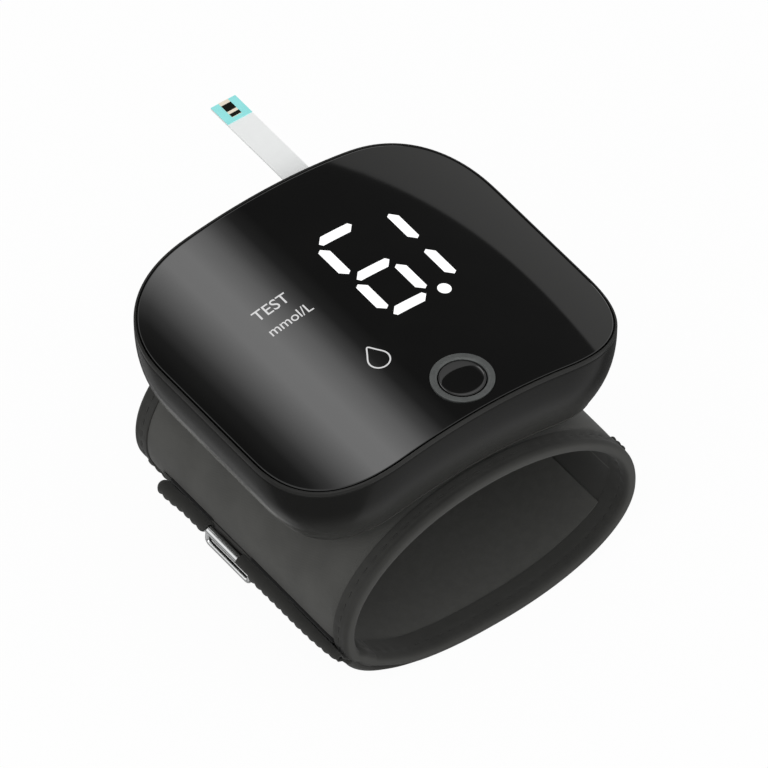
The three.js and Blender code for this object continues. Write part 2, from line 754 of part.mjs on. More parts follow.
// Cap: a dished disc in the ring, a flange that holds it in, and a stem
function buttonCap() {
  const top = RING_PROUD - CAP_DROP;
  return turnedBody(BUTTON_X, BUTTON_Y, [
    [0, KNOB_TOP + BUTTON_TRAVEL + CLEARANCE * HALF],
    [CAP_STEM, KNOB_TOP + BUTTON_TRAVEL + CLEARANCE * HALF],
    [CAP_STEM, CAP_LOW],
    [CAP_FLANGE, CAP_LOW],
    [CAP_FLANGE, CAP_SEAT],
    [CAP_RADIUS, CAP_SEAT],
    [CAP_RADIUS, top - CAP_DISH],
    [CAP_RADIUS - CAP_DISH, top],
    [CAP_RADIUS * HALF, top - CAP_DISH * HALF],
    [0, top - CAP_DISH],
  ], ROUND_STEPS);
}

// Strip socket

// Liner of the slot in the rear wall
function stripPort() {
  const rear = METER_DEEP * HALF - BOWL_FRONT * (STRIP_DEPTH / METER_HEIGHT) ** BOWL_SHARE;
  const halfX = PORT_WIDTH * HALF - CLEARANCE;
  const halfZ = PORT_HEIGHT * HALF - CLEARANCE;
  const place = ([across, up]) => [STRIP_X + across, up - STRIP_DEPTH];
  const outer = rectangle(halfX, halfZ, halfZ * HALF).map(place);
  const inner = rectangle(halfX - PORT_WALL, halfZ - PORT_WALL, CLEARANCE).map(place);
  const low = rear - HOUSING_WALL - CLEARANCE;
  return alongY(outer, low, rear - CLEARANCE, inner);
}

const SOCKET_REAR = METER_DEEP * HALF - BOWL_FRONT * HALF - HOUSING_WALL - CLEARANCE;
const SOCKET_FRONT = SOCKET_REAR - SOCKET_LENGTH;

// Socket body on the board, open to the rear for the strip and above for its springs
function stripSocket() {
  const halfX = STRIP_WIDTH * HALF + CLEARANCE + SOCKET_WALL;
  const low = BOARD_TOP + CLEARANCE * HALF;
  const high = -STRIP_DEPTH + SOCKET_ROOM;
  const body = block(
    STRIP_X - halfX, STRIP_X + halfX, SOCKET_FRONT, SOCKET_REAR, low, high,
  );
  const slotX = STRIP_WIDTH * HALF + CLEARANCE;
  const slot = block(
    STRIP_X - slotX, STRIP_X + slotX, SOCKET_FRONT + SOCKET_WALL, SOCKET_REAR + OVERRUN,
    low + SOCKET_FLOOR, high + OVERRUN,
  );
  return carve(body, [], [slot]);
}

// One bent spring that bears on the strip from above
function stripContact(index) {
  const x = STRIP_X + (index - 1) * CONTACT_PITCH;
  const half = CONTACT_WIDTH * HALF;
  const front = SOCKET_FRONT + SOCKET_WALL + CLEARANCE * HALF;
  const dip = -STRIP_DEPTH + STRIP_THICKNESS * HALF + CLEARANCE * HALF;
  const rise = -STRIP_DEPTH + SOCKET_ROOM - CONTACT_THICKNESS;
  const [bendShare, dipShare] = CONTACT_BEND_SHARES;
  const centre = [
    [front, rise],
    [front + CONTACT_LENGTH * bendShare, rise],
    [front + CONTACT_LENGTH * dipShare, dip],
    [front + CONTACT_LENGTH, dip + CONTACT_THICKNESS * 2],
  ];
  const outline = [
    ...centre,
    ...centre.map(([y, z]) => [y, z + CONTACT_THICKNESS]).reverse(),
  ];
  const body = upward(outline, -half, half);
  body.rotateX(Math.PI * HALF);
  body.rotateZ(Math.PI * HALF);
  body.translate(x, 0, 0);
  return body;
}

// Test strip: white base, tinted cover at its far end, and the electrodes on that

const STRIP_TOP = -STRIP_DEPTH + STRIP_THICKNESS * HALF;
const STRIP_END = SOCKET_FRONT + STRIP_STOP + STRIP_LENGTH;

function stripBase() {
  return block(
    STRIP_X - STRIP_WIDTH * HALF, STRIP_X + STRIP_WIDTH * HALF,
    STRIP_END - STRIP_LENGTH, STRIP_END, STRIP_TOP - STRIP_THICKNESS, STRIP_TOP,
  );
}

function stripTip() {
  return block(
    STRIP_X - STRIP_WIDTH * HALF, STRIP_X + STRIP_WIDTH * HALF,
    STRIP_END - TIP_LENGTH, STRIP_END, STRIP_TOP, STRIP_TOP + TIP_THICKNESS,
  );
}

function stripPad(fromEnd, length, level, thickness) {
  const low = STRIP_TOP + TIP_THICKNESS + level;
  return block(
    STRIP_X - PAD_WIDTH * HALF, STRIP_X + PAD_WIDTH * HALF,
    STRIP_END - fromEnd - length, STRIP_END - fromEnd, low, low + thickness,
  );
}

// Power and sound

const TRAY_LOW = -FLOOR_DEPTH + CLEARANCE;
const CELL_LOW = TRAY_LOW + TRAY_FLOOR + CLEARANCE * HALF;
const BATTERY_THICKNESS = BOARD_UNDER - BATTERY_ROOM - CELL_LOW;

function batteryTray() {
  const halfX = BATTERY_WIDTH * HALF + CLEARANCE + TRAY_WALL;
  const halfY = BATTERY_DEEP * HALF + CLEARANCE + TRAY_WALL;
  const tray = upward(rectangle(halfX, halfY, BATTERY_ROUND), TRAY_LOW, TRAY_LOW + TRAY_LIP);
  const inside = rectangle(halfX - TRAY_WALL, halfY - TRAY_WALL, CLEARANCE);
  const room = upward(inside, TRAY_LOW + TRAY_FLOOR, TRAY_LOW + TRAY_LIP + OVERRUN);
  const gapX = BATTERY_WIDTH * TRAY_GAP_SHARE;
  const gaps = block(
    -gapX, gapX, -halfY - OVERRUN, halfY + OVERRUN,
    TRAY_LOW + TRAY_FLOOR, TRAY_LOW + TRAY_LIP + OVERRUN,
  );
  return carve(tray, [], [room, gaps]);
}

function batteryCell() {
  const round = BATTERY_THICKNESS * CELL_ROUND_SHARE;
  const outline = rectangle(BATTERY_WIDTH * HALF, BATTERY_THICKNESS * HALF, round);
  const placed = outline.map(([x, z]) => [x, z + CELL_LOW + BATTERY_THICKNESS * HALF]);
  return alongY(placed, -BATTERY_DEEP * HALF, BATTERY_DEEP * HALF);
}

// Metal shell of the charging socket, open to the rear
function chargeSocket() {
  const rear = METER_DEEP * HALF - BOWL_FRONT * HALF;
  const place = ([across, up]) => [CHARGE_X + across, up - CHARGE_DEPTH];
  const halfX = CHARGE_WIDTH * HALF;
  const halfZ = CHARGE_HEIGHT * HALF;
  const outer = rectangle(halfX, halfZ, halfZ * CHARGE_ROUND_SHARE).map(place);
  const boreRound = halfZ * CHARGE_BORE_SHARE;
  const inner = rectangle(halfX - CHARGE_WALL, halfZ - CHARGE_WALL, boreRound).map(place);
  const shell = alongY(outer, rear - CHARGE_LENGTH, rear - CLEARANCE);
  const bore = alongY(inner, rear - CHARGE_LENGTH + SOCKET_WALL, rear + OVERRUN);
  const tongueX = halfX - CHARGE_WALL - SOCKET_WALL;
  const tongue = block(
    CHARGE_X - tongueX, CHARGE_X + tongueX,
    rear - CHARGE_LENGTH + SOCKET_WALL * HALF, rear - SOCKET_WALL,
    -CHARGE_DEPTH - CHARGE_WALL, -CHARGE_DEPTH + CHARGE_WALL,
  );
  return toGeometry(toSolid(shell).subtract(toSolid(bore)).add(toSolid(tongue)));
}

const BUZZER_X = BUZZER_INSET - BOARD_WIDTH * HALF;

function buzzer() {
  const high = BOARD_UNDER - CLEARANCE * HALF;
  const can = rod(BUZZER_X, BUZZER_Y, BUZZER_RADIUS, high - BUZZER_HEIGHT, high, ROUND_STEPS);
  const port = rod(
    BUZZER_X, BUZZER_Y, BUZZER_PORT, high - BUZZER_HEIGHT - OVERRUN, high - BUZZER_HEIGHT * HALF,
  );
  return carve(can, [], [port]);
}

// Cuff, about the middle of its own section

const WAIST_HEIGHT = CUFF_HEIGHT * WAIST_SHARE;
const CROWN_HEIGHT = CUFF_HEIGHT - WAIST_HEIGHT;
const CUFF_MIDDLE = WAIST_HEIGHT - REST_CUT;

// A point of the cuff's outer surface, moved out along its normal. Over the widest
// line the section is a tall half ellipse, and under it a lower and fuller one.
function cuffPoint(angle, offset) {
  const halfX = CUFF_WIDTH * HALF;
  const cos = Math.cos(angle);
  const sin = Math.sin(angle);
  const crown = sin >= 0;
  const halfZ = crown ? CROWN_HEIGHT : WAIST_HEIGHT;
  const round = crown ? CROWN_ROUND_SHARE : UNDER_ROUND_SHARE;
  const power = 2 / round;
  const shareX = Math.sign(cos) * Math.abs(cos) ** power;
  const shareZ = Math.sign(sin) * Math.abs(sin) ** power;
  const slope = round - 1;
  const normalX = Math.sign(shareX) * Math.abs(shareX) ** slope / halfX;
  const normalZ = Math.sign(shareZ) * Math.abs(shareZ) ** slope / halfZ;
  const length = Math.hypot(normalX, normalZ);
  return [
    shareX * halfX + (normalX / length) * offset,
    shareZ * halfZ + (normalZ / length) * offset + CUFF_MIDDLE,
  ];
}

// A ring round the arm at one place along it, cut flat where the cuff rests
function cuffRing(inset, y) {
  return Array.from({ length: CUFF_STEPS }, (_, i) => {
    const [x, z] = cuffPoint((i / CUFF_STEPS) * TURN, -inset);
    return new THREE.Vector3(x, y, Math.max(z, 0));
  });
}

// A band of the cuff from pairs of inset and place along the arm
function cuffBand(section) {
  return skin(section.map(([inset, y]) => cuffRing(inset, y)), true);
}

const CUFF_END = CUFF_LENGTH * HALF;
const BODY_END = CUFF_END - BINDING_WIDTH - CLEARANCE;
const TONGUE_END = CUFF_END - BINDING_EDGE - CLEARANCE;
const TONGUE_OUT = BINDING_TAPE + CLEARANCE;
const LINING_OUT = SHELL_THICKNESS + CLEARANCE;

function cuffShell() {
  const tongueIn = Math.min(SHELL_THICKNESS, CUFF_WALL - BINDING_TAPE - CLEARANCE);
  return cuffBand([
    [0, -BODY_END],
    [TONGUE_OUT, -BODY_END],
    [TONGUE_OUT, -TONGUE_END],
    [tongueIn, -TONGUE_END],
    [tongueIn, TONGUE_END],
    [TONGUE_OUT, TONGUE_END],
    [TONGUE_OUT, BODY_END],
    [0, BODY_END],
  ]);
}

function cuffLining() {
  return cuffBand([
    [LINING_OUT, -BODY_END],
    [CUFF_WALL, -BODY_END],
    [CUFF_WALL, BODY_END],
    [LINING_OUT, BODY_END],
  ]);
}

// Tape folded over one rim of the cuff; side is -1 at the front and 1 at the rear
function binding(side) {
  const open = CUFF_END - BINDING_WIDTH;
  const web = CUFF_END - BINDING_EDGE;
  const round = BINDING_EDGE * HALF;
  const section = [
    [0, open],
    [BINDING_TAPE, open],
    [BINDING_TAPE, web],
    [CUFF_WALL - BINDING_TAPE, web],
    [CUFF_WALL - BINDING_TAPE, open],
    [CUFF_WALL, open],
    [CUFF_WALL, CUFF_END - round],
    [CUFF_WALL - round, CUFF_END],
    [round, CUFF_END],
    [0, CUFF_END - round],
  ].map(([inset, y]) => [inset, side * y]);
  return cuffBand(section);
}

// Saddle plate: it fills the space between the housing's arched floor and the cuff

const METER_TOP = CUFF_HEIGHT - REST_CUT + SEAT_GAP + METER_HEIGHT;

const saddleTop = (x) => METER_TOP - METER_HEIGHT + seatDrop(x - METER_SHIFT_X) - FINE_GAP;

// Height of the cuff's outer surface over a place across the arm
function cuffTop(x) {
  const share = Math.min(Math.abs(x) / (CUFF_WIDTH * HALF), 1);
  const rise = (1 - share ** CROWN_ROUND_SHARE) ** (1 / CROWN_ROUND_SHARE);
  return CUFF_MIDDLE + CROWN_HEIGHT * rise;
}

function saddlePlate() {
  const places = Array.from({ length: SADDLE_STEPS + 1 }, (_, i) => (
    SADDLE_WIDTH * (i / SADDLE_STEPS - HALF)
  ));
  const over = places.map((x) => [x, saddleTop(x)]);
  const under = places.map((x) => [x, cuffTop(x) + FINE_GAP]);
  const low = METER_SHIFT_Y - SADDLE_LENGTH * HALF;
  const plate = alongY([...under, ...over.reverse()], low, low + SADDLE_LENGTH);
  const room = SADDLE_SCREW_PLACES.flatMap((x) => {
    const seat = saddleTop(x) - SADDLE_WEB;
    const foot = seat - SADDLE_BOSS * 2;
    return [
      rod(x, METER_SHIFT_Y, SADDLE_HEAD_RADIUS + CLEARANCE, foot, seat),
      rod(x, METER_SHIFT_Y, SCREW_RADIUS + PILOT_GAP, seat - OVERRUN, seat + OVERRUN * 2),
    ];
  });
  return carve(plate, [], room);
}

function saddleScrew(x) {
  const seat = saddleTop(x) - SADDLE_WEB - CLEARANCE * HALF;
  const low = seat - SADDLE_HEAD;
  const screw = turnedBody(x, METER_SHIFT_Y, [
    [0, low],
    [SADDLE_HEAD_RADIUS, low],
    [SADDLE_HEAD_RADIUS, seat],
    [SCREW_RADIUS, seat],
    [SCREW_RADIUS, seat + SADDLE_SCREW_LENGTH - SCREW_RADIUS],
    [0, seat + SADDLE_SCREW_LENGTH],
  ], SMALL_STEPS);
  return carve(screw, [], crossDrive(x, METER_SHIFT_Y, low, 1));
}

// Closing strap at the lower left

const LOOP_ANGLE = LOOP_TURN * DEGREE;
const LOOP_BORE = RING_BAR + FINE_GAP;
const LOOP_RADIUS = LOOP_BORE + LOOP_WALL;
const LOOP_CENTRE = cuffPoint(LOOP_ANGLE, LOOP_RADIUS + CLEARANCE);
const LOOP_FRONT_END = LOOP_FRONT_INSET - CUFF_LENGTH * HALF;
const LOOP_REAR_END = CUFF_LENGTH * HALF - LOOP_REAR_INSET;
const WINDOW_FRONT = RING_Y - RING_LENGTH * HALF - CLEARANCE;
const WINDOW_REAR = RING_Y + RING_LENGTH * HALF + CLEARANCE;

// A layer that follows the cuff between two turns and two offsets
function layer(fromTurn, toTurn, low, high, frontY, rearY) {
  const steps = Math.ceil((toTurn - fromTurn) / LAYER_TURN);
  const turns = Array.from({ length: steps + 1 }, (_, i) => (
    (fromTurn + (toTurn - fromTurn) * i / steps) * DEGREE
  ));
  const inner = turns.map((angle) => cuffPoint(angle, low));
  const outer = turns.map((angle) => cuffPoint(angle, high)).reverse();
  return alongY([...inner, ...outer], frontY, rearY);
}

function tube(frontY, rearY, radius) {
  return alongY(circle(LOOP_CENTRE[0], LOOP_CENTRE[1], radius, SMALL_STEPS), frontY, rearY);
}

// Direction of the ring's arms at rest, as an angle in the plane of X and Z
function armAngle() {
  const [x, z] = cuffPoint(LOOP_ANGLE, 0);
  const outward = Math.atan2(LOOP_CENTRE[1] - z, LOOP_CENTRE[0] - x);
  return outward + (Math.PI * HALF - RING_STAND * DEGREE);
}

// A fabric loop sewn round the ring's bar, with its tail down the cuff
function strapLoop(frontY, rearY) {
  const tail = layer(
    LOOP_TURN, TAIL_TURN, CLEARANCE, CLEARANCE + TAIL_THICKNESS, frontY, rearY,
  );
  const bore = tube(frontY - OVERRUN, rearY + OVERRUN, LOOP_BORE);
  return carve(tube(frontY, rearY, LOOP_RADIUS), [tail], [bore]);
}

// The front loop carries on over the ring's corner as a half round cover
function frontLoop() {
  const cover = tube(WINDOW_FRONT - CLEARANCE, WINDOW_FRONT + COVER_LENGTH, LOOP_RADIUS);
  const bore = tube(WINDOW_FRONT - OVERRUN, WINDOW_FRONT + COVER_LENGTH + OVERRUN, LOOP_BORE);
  const rest = armAngle();
  const reach = LOOP_RADIUS * SWEEP_REACH_SHARE;
  const wedge = [SWEEP_MARGIN, -RING_SWING * HALF, -RING_SWING - SWEEP_MARGIN].map((turn) => {
    const angle = rest + turn * DEGREE;
    return [LOOP_CENTRE[0] + reach * Math.cos(angle), LOOP_CENTRE[1] + reach * Math.sin(angle)];
  });
  const gap = alongY(
    [LOOP_CENTRE, ...wedge], WINDOW_FRONT, WINDOW_FRONT + COVER_LENGTH + OVERRUN,
  );
  const hood = carve(cover, [], [bore, gap]);
  return carve(strapLoop(LOOP_FRONT_END, WINDOW_FRONT), [hood], []);
}

// Ring: a thick bar that runs on into both loops, and a thin closed wire along it
function strapRing() {
  const rest = armAngle();
  const along = new THREE.Vector3(Math.cos(rest), 0, Math.sin(rest));
  const across = new THREE.Vector3(-Math.sin(rest), 0, Math.cos(rest));
  const start = new THREE.Vector3(LOOP_CENTRE[0], RING_Y, LOOP_CENTRE[1]);
  const halfY = RING_LENGTH * HALF - RING_WIRE;
  const halfD = RING_SPACING * HALF;
  const path = rectangle(halfY, halfD, RING_CORNER);
  const rings = path.map(([y, d], i) => {
    const [nextY, nextD] = path[(i + 1) % path.length];
    const [lastY, lastD] = path[(i + path.length - 1) % path.length];
    const length = Math.hypot(nextY - lastY, nextD - lastD);
    const outY = (nextD - lastD) / length;
    const outD = -(nextY - lastY) / length;
    return Array.from({ length: WIRE_STEPS }, (_, k) => {
      const angle = (k / WIRE_STEPS) * TURN;
      const side = Math.cos(angle) * RING_WIRE;
      const point = start.clone().addScaledVector(along, halfD + d + outD * side);
      point.addScaledVector(across, Math.sin(angle) * RING_WIRE);
      point.y += y + outY * side;
      return point;
    });
  });
  const bar = tube(
    RING_Y - RING_LENGTH * HALF - RING_STUB, RING_Y + RING_LENGTH * HALF + RING_STUB, RING_BAR,
  );
  return carve(skin(rings, true), [bar], []);
}

const PATCH_LOW = CLEARANCE;
const FLAP_LOW = PATCH_LOW + PATCH_THICKNESS + CLEARANCE;

function strapFlap() {
  return layer(
    FLAP_FROM_TURN, FLAP_TO_TURN, FLAP_LOW, FLAP_LOW + FLAP_THICKNESS,
    LOOP_FRONT_END, LOOP_REAR_END,
  );
}

function hookPatch() {
  return layer(
    FLAP_FROM_TURN, FLAP_TO_TURN - PATCH_MARGIN_TURN, PATCH_LOW, PATCH_LOW + PATCH_THICKNESS,
    LOOP_FRONT_END + PATCH_MARGIN, LOOP_REAR_END - PATCH_MARGIN,
  );
}

// Assembly

const part = new THREE.Group();
const meter = new THREE.Group();
meter.position.set(METER_SHIFT_X, METER_SHIFT_Y, METER_TOP);
part.add(meter);

function add(group, name, geometry, color, roughness, metalness = 0) {
  const material = new THREE.MeshStandardMaterial({ color, roughness, metalness });
  const mesh = new THREE.Mesh(sealed(geometry), material);
  mesh.name = name;
  group.add(mesh);
}

const BLACK_GLASS = '#0b0b0a';
const HOUSING_BLACK = '#232321';
const SATIN_GREY = '#5a5f60';
const BOARD_GREEN = '#1f5a38';
const STEEL = '#b9bcbe';
const GOLD = '#d8b064';
const WHITE = '#e9eceb';
const TIP_BLUE = '#8fe6e8';
const FABRIC_GREY = '#4d4d4a';
const TAPE_GREY = '#343431';
const LINING_GREY = '#383834';

add(meter, 'display_lens', displayLens(), BLACK_GLASS, 0.05);
add(meter, 'bezel_frame', bezelFrame(), HOUSING_BLACK, 0.3);
add(meter, 'lower_housing', lowerHousing(), HOUSING_BLACK, 0.35);
SCREW_PLACES.forEach(([x, y], i) => {
  add(meter, `housing_screw_${i + 1}`, housingScrew(x, y), STEEL, 0.35, 1);
});
add(meter, 'main_board', mainBoard(), BOARD_GREEN, 0.5);
add(meter, 'board_screw_1', boardScrew(-BOARD_POST_X, BOARD_POST_Y), STEEL, 0.35, 1);
add(meter, 'board_screw_2', boardScrew(BOARD_POST_X, -BOARD_POST_Y), STEEL, 0.35, 1);
add(meter, 'control_chip', controlChip(), '#1a1a1b', 0.5);
add(meter, 'digit_reflector', digitReflector(), WHITE, 0.5);
add(meter, 'display_film', displayFilm(), '#f4f6f6', 0.6);
add(meter, 'tact_switch', tactSwitch(), '#2a2a2c', 0.45);
add(meter, 'button_ring', buttonRing(), SATIN_GREY, 0.4, 0.6);
add(meter, 'button_cap', buttonCap(), BLACK_GLASS, 0.12);
add(meter, 'strip_port', stripPort(), HOUSING_BLACK, 0.4);
add(meter, 'strip_socket', stripSocket(), '#3a3d40', 0.5);
[0, 1, 2].forEach((i) => {
  add(meter, `strip_contact_${i + 1}`, stripContact(i), GOLD, 0.3, 1);
});
add(meter, 'strip_base', stripBase(), WHITE, 0.4);
add(meter, 'strip_tip', stripTip(), TIP_BLUE, 0.35);
add(meter, 'strip_gold_track', stripPad(0, GOLD_LENGTH, 0, PAD_THICKNESS), GOLD, 0.3, 1);
add(meter, 'strip_pad_1', stripPad(PAD_ONE, PAD_ONE_LENGTH, PAD_THICKNESS, PAD_THICKNESS),
  '#10120c', 0.5);
add(meter, 'strip_pad_2', stripPad(PAD_TWO, PAD_TWO_LENGTH, PAD_THICKNESS, PAD_THICKNESS),
  '#10120c', 0.5);
add(meter, 'battery_tray', batteryTray(), '#2c2e30', 0.5);
add(meter, 'battery_cell', batteryCell(), '#a9adb0', 0.4, 0.5);
add(meter, 'charge_socket', chargeSocket(), STEEL, 0.3, 1);
add(meter, 'buzzer', buzzer(), '#1d1d1f', 0.5);
add(part, 'saddle_plate', saddlePlate(), HOUSING_BLACK, 0.5);
SADDLE_SCREW_PLACES.forEach((x, i) => {
  add(part, `saddle_screw_${i + 1}`, saddleScrew(x), STEEL, 0.35, 1);
});
add(part, 'cuff_shell', cuffShell(), FABRIC_GREY, 0.9);
add(part, 'cuff_lining', cuffLining(), LINING_GREY, 0.95);
add(part, 'front_binding', binding(-1), TAPE_GREY, 0.9);
add(part, 'rear_binding', binding(1), TAPE_GREY, 0.9);
add(part, 'strap_loop_front', frontLoop(), TAPE_GREY, 0.9);
add(part, 'strap_loop_rear', strapLoop(WINDOW_REAR, LOOP_REAR_END), TAPE_GREY, 0.9);
add(part, 'strap_flap', strapFlap(), TAPE_GREY, 0.9);
add(part, 'hook_patch', hookPatch(), '#222222', 0.95);
add(part, 'strap_ring', strapRing(), '#c9ccce', 0.12, 1);

export default part;
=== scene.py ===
# %% [markdown]
# # A blood glucose meter on a wrist cuff
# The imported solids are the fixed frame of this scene. Rigid inner pieces keep their
# solids and get a finish. Everything that shows from outside is made again here as a
# smooth surface from the same formulas, and the cuff gets its cloth, seams and stitches.

import math

import bmesh
import bpy
import numpy as np
from mathutils import Matrix, Vector


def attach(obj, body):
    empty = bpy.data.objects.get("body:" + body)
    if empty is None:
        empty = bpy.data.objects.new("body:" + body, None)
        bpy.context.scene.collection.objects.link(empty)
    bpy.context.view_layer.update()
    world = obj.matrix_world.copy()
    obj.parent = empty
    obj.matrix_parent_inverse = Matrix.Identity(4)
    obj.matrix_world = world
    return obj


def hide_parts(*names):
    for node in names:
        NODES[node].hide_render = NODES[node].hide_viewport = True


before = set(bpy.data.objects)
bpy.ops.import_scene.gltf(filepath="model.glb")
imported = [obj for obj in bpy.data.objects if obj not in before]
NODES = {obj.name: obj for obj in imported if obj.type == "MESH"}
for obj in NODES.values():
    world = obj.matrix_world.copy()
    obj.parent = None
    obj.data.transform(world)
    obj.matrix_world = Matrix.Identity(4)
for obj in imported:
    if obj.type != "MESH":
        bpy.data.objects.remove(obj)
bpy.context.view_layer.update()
MM = 0.001
TAU = 2 * math.pi

# %% [markdown]
# ## Sizes
# Millimetres, in the frame of the solids: the arm runs along Y, the digits read along
# +X and the origin is the middle of the flat under the cuff. The housing has a frame
# of its own, whose origin is the crest of the arched glass.

# %% Sizes of the housing and the cuff
CREST = np.array([-2.0, 0.5, 66.1])
METER_WIDTH, METER_DEEP, METER_HEIGHT = 82.4, 72.7, 20.0
CORNER_REACH, CORNER_MIN, CORNER_POWER = 22.2, 8.0, 2.45
ARCH_RADIUS, SEAT_RADIUS = 104.0, 94.0
BOWL_SIDE, BOWL_FRONT, BOWL_POWER = 6.0, 4.0, 2.33
BEZEL_LAND, LENS_GAP, LENS_THICKNESS = 0.4, 0.3, 1.0
BEZEL_HEIGHT, RIM_SKIRT, PARTING = 2.0, 1.0, 0.12
BUTTON = np.array([0.6, -27.3])
RING_RADIUS, RING_BORE = 6.4, 4.95
CUFF_WIDTH, CUFF_LENGTH, CUFF_WALL, REST_CUT = 71.8, 70.4, 2.5, 0.5
CROWN_HEIGHT, WAIST_HEIGHT = 25.2, 19.8
CROWN_POWER, UNDER_POWER = 2.03, 2.21
TAPE_OUTSIDE, TAPE_INSIDE = 4.4, 6.0
CUFF_END = CUFF_LENGTH / 2
print("housing:", METER_WIDTH, "x", METER_DEEP, "mm, cuff:", CUFF_WIDTH, "x", CUFF_LENGTH, "mm")


# %% [markdown]
# ## Meshes from whole arrays
# Each shape is a grid of points, worked out for all its rows and columns at once. One
# helper turns the grid into faces, merges what meets, turns the faces outwards, and
# writes a UV map in millimetres, so that a weave keeps its scale.


# %% Grids, meshes and objects
def grid_faces(rows, cols, close_rows, close_cols):
    """Quads between neighbours of a grid, wrapped round where a direction is closed."""
    r = np.arange(rows if close_rows else rows - 1)[:, None]
    c = np.arange(cols if close_cols else cols - 1)[None, :]
    r2, c2 = (r + 1) % rows, (c + 1) % cols
    quads = np.stack([r * cols + c, r * cols + c2, r2 * cols + c2, r2 * cols + c], -1)
    return quads.reshape(-1, 4)


def mesh_of(name, points, faces, uv=None):
    """A mesh from points in millimetres. Each corner of a face gets its point's UV."""
    mesh = bpy.data.meshes.new(name)
    mesh.from_pydata((np.asarray(points, float) * MM).tolist(), [], np.asarray(faces).tolist())
    if uv is not None:
        layer = mesh.uv_layers.new(name="surface")
        loops = np.empty(len(mesh.loops), np.int64)
        mesh.loops.foreach_get("vertex_index", loops)
        layer.data.foreach_set("uv", uv[loops].astype(np.float32).ravel())
    return mesh


def close_up(mesh, distance, tiny=0.0):
    """Merges points that meet, drops tiny faces and turns all faces outwards."""
    work = bmesh.new()
    work.from_mesh(mesh)
    bmesh.ops.remove_doubles(work, verts=work.verts, dist=distance)
    if tiny:
        bmesh.ops.dissolve_degenerate(work, edges=work.edges, dist=tiny)
    bmesh.ops.recalc_face_normals(work, faces=work.faces)
    work.to_mesh(mesh)
    work.free()


def linked(name, data):
    """An object in the scene for a mesh, a curve, a lamp or a camera."""
    obj = bpy.data.objects.new(name, data)
    bpy.context.scene.collection.objects.link(obj)
    return obj


print("a closed grid of 3 by 4 points has", len(grid_faces(3, 4, True, True)), "quads")


# %% From grids of points to a piece
def ring_part(rings, close_rows=False):
    """Points, quads and no UV from rows of points that each run once round."""
    rings = np.asarray(rings)
    return rings, grid_faces(*rings.shape[:2], close_rows, True), None


def piece(name, parts, body, material, merge=0.002, sharp=35, replaces=()):
    """One object from parts of (points in mm, quads, UV in mm or None): its doubles
    are merged, its faces point out, and edges sharper than an angle stay sharp."""
    points, faces, uvs, first = [], [], [], 0
    for verts, quads, uv in parts:
        flat = np.asarray(verts, float).reshape(-1, 3)
        points.append(flat)
        faces.append(np.asarray(quads) + first)
        uvs.append(np.zeros((len(flat), 2)) if uv is None else np.asarray(uv).reshape(-1, 2))
        first += len(flat)
    mesh = mesh_of(name, *(np.concatenate(rows) for rows in (points, faces, uvs)))
    close_up(mesh, merge * MM, merge * MM * 0.5)
    mesh.shade_smooth()
    mesh.set_sharp_from_angle(angle=math.radians(sharp))
    mesh.materials.append(material)
    obj = linked(name, mesh)
    print(f"{name}: {len(mesh.polygons)} faces, rides {body}, for {list(replaces) or 'looks'}")
    if replaces:
        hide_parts(*replaces)
    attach(obj, body)
    return obj


# %% Flat paths
def rounded(corners, radii, steps=6):
    """A closed polyline whose corners are rounded: each corner becomes a quadratic curve
    that starts and ends at its radius along the two sides."""
    corners = np.asarray(corners, float)
    t = np.linspace(0, 1, steps + 1)[:, None]
    pieces = []
    for i, radius in enumerate(radii):
        here = corners[i]
        back, ahead = corners[i - 1] - here, corners[(i + 1) % len(corners)] - here
        start = here + back * min(radius / np.hypot(*back), 0.5)
        stop = here + ahead * min(radius / np.hypot(*ahead), 0.5)
        pieces.append((1 - t) ** 2 * start + 2 * t * (1 - t) * here + t**2 * stop)
    return np.concatenate(pieces)


def denser(path, step):
    """The same closed polyline with points added so that none lie further apart than
    step."""
    out = []
    for a, b in zip(path, np.roll(path, -1, 0)):
        n = max(1, int(math.ceil(np.hypot(*(b - a)) / step)))
        out.append(a + (b - a) * (np.arange(n) / n)[:, None])
    return np.concatenate(out)


def circle(count):
    """Directions of so many points spaced evenly round a circle, in radians."""
    return np.linspace(0, TAU, count + 1)[:-1]


def walked(path):
    """Length walked from the start of a path to each of its points."""
    return np.concatenate([[0], np.cumsum(np.hypot(*np.diff(path, axis=0).T))])


def normals(path):
    """Unit normals of a closed flat path: its tangents, turned by a right angle."""
    tangent = np.roll(path, -1, 0) - np.roll(path, 1, 0)
    normal = np.stack([tangent[:, 1], -tangent[:, 0]], -1)
    return normal / np.linalg.norm(normal, axis=1, keepdims=True)


print("eight directions round a circle:", circle(8).round(2))


# %% [markdown]
# ## Finishes
# A finish is a small network of nodes. Written as node links it is hard to read, so a
# socket is wrapped in a class that knows + - * /, and a network reads like a formula.


# %% Shader maths as expressions
class Wire:
    """One output socket. Arithmetic on it adds Math nodes to its material."""

    def __init__(self, finish, socket):
        self.finish, self.socket = finish, socket

    def math(self, operation, other=0.0):
        """One Math node; operations on one value leave the other at 0."""
        return self.finish.node("ShaderNodeMath", [self, other], operation=operation)

    def __add__(self, other):
        return self.math("ADD", other)

    def __sub__(self, other):
        return self.math("SUBTRACT", other)

    def __rsub__(self, other):
        return (self * -1.0).math("ADD", other)

    def __mul__(self, other):
        return self.math("MULTIPLY", other)

    def __truediv__(self, other):
        return self.math("DIVIDE", other)

    def __pow__(self, other):
        return self.math("POWER", other)

    def wave(self, period):
        """A cosine of that period, from 0 to 1."""
        return (self * (TAU / period)).math("COSINE") * 0.5 + 0.5

    def ramp(self, low, high):
        """0 below low, 1 above high, and smooth between them."""
        return self.finish.node(
            "ShaderNodeMapRange",
            {"Value": self, "From Min": low, "From Max": high},
            interpolation_type="SMOOTHSTEP",
        )


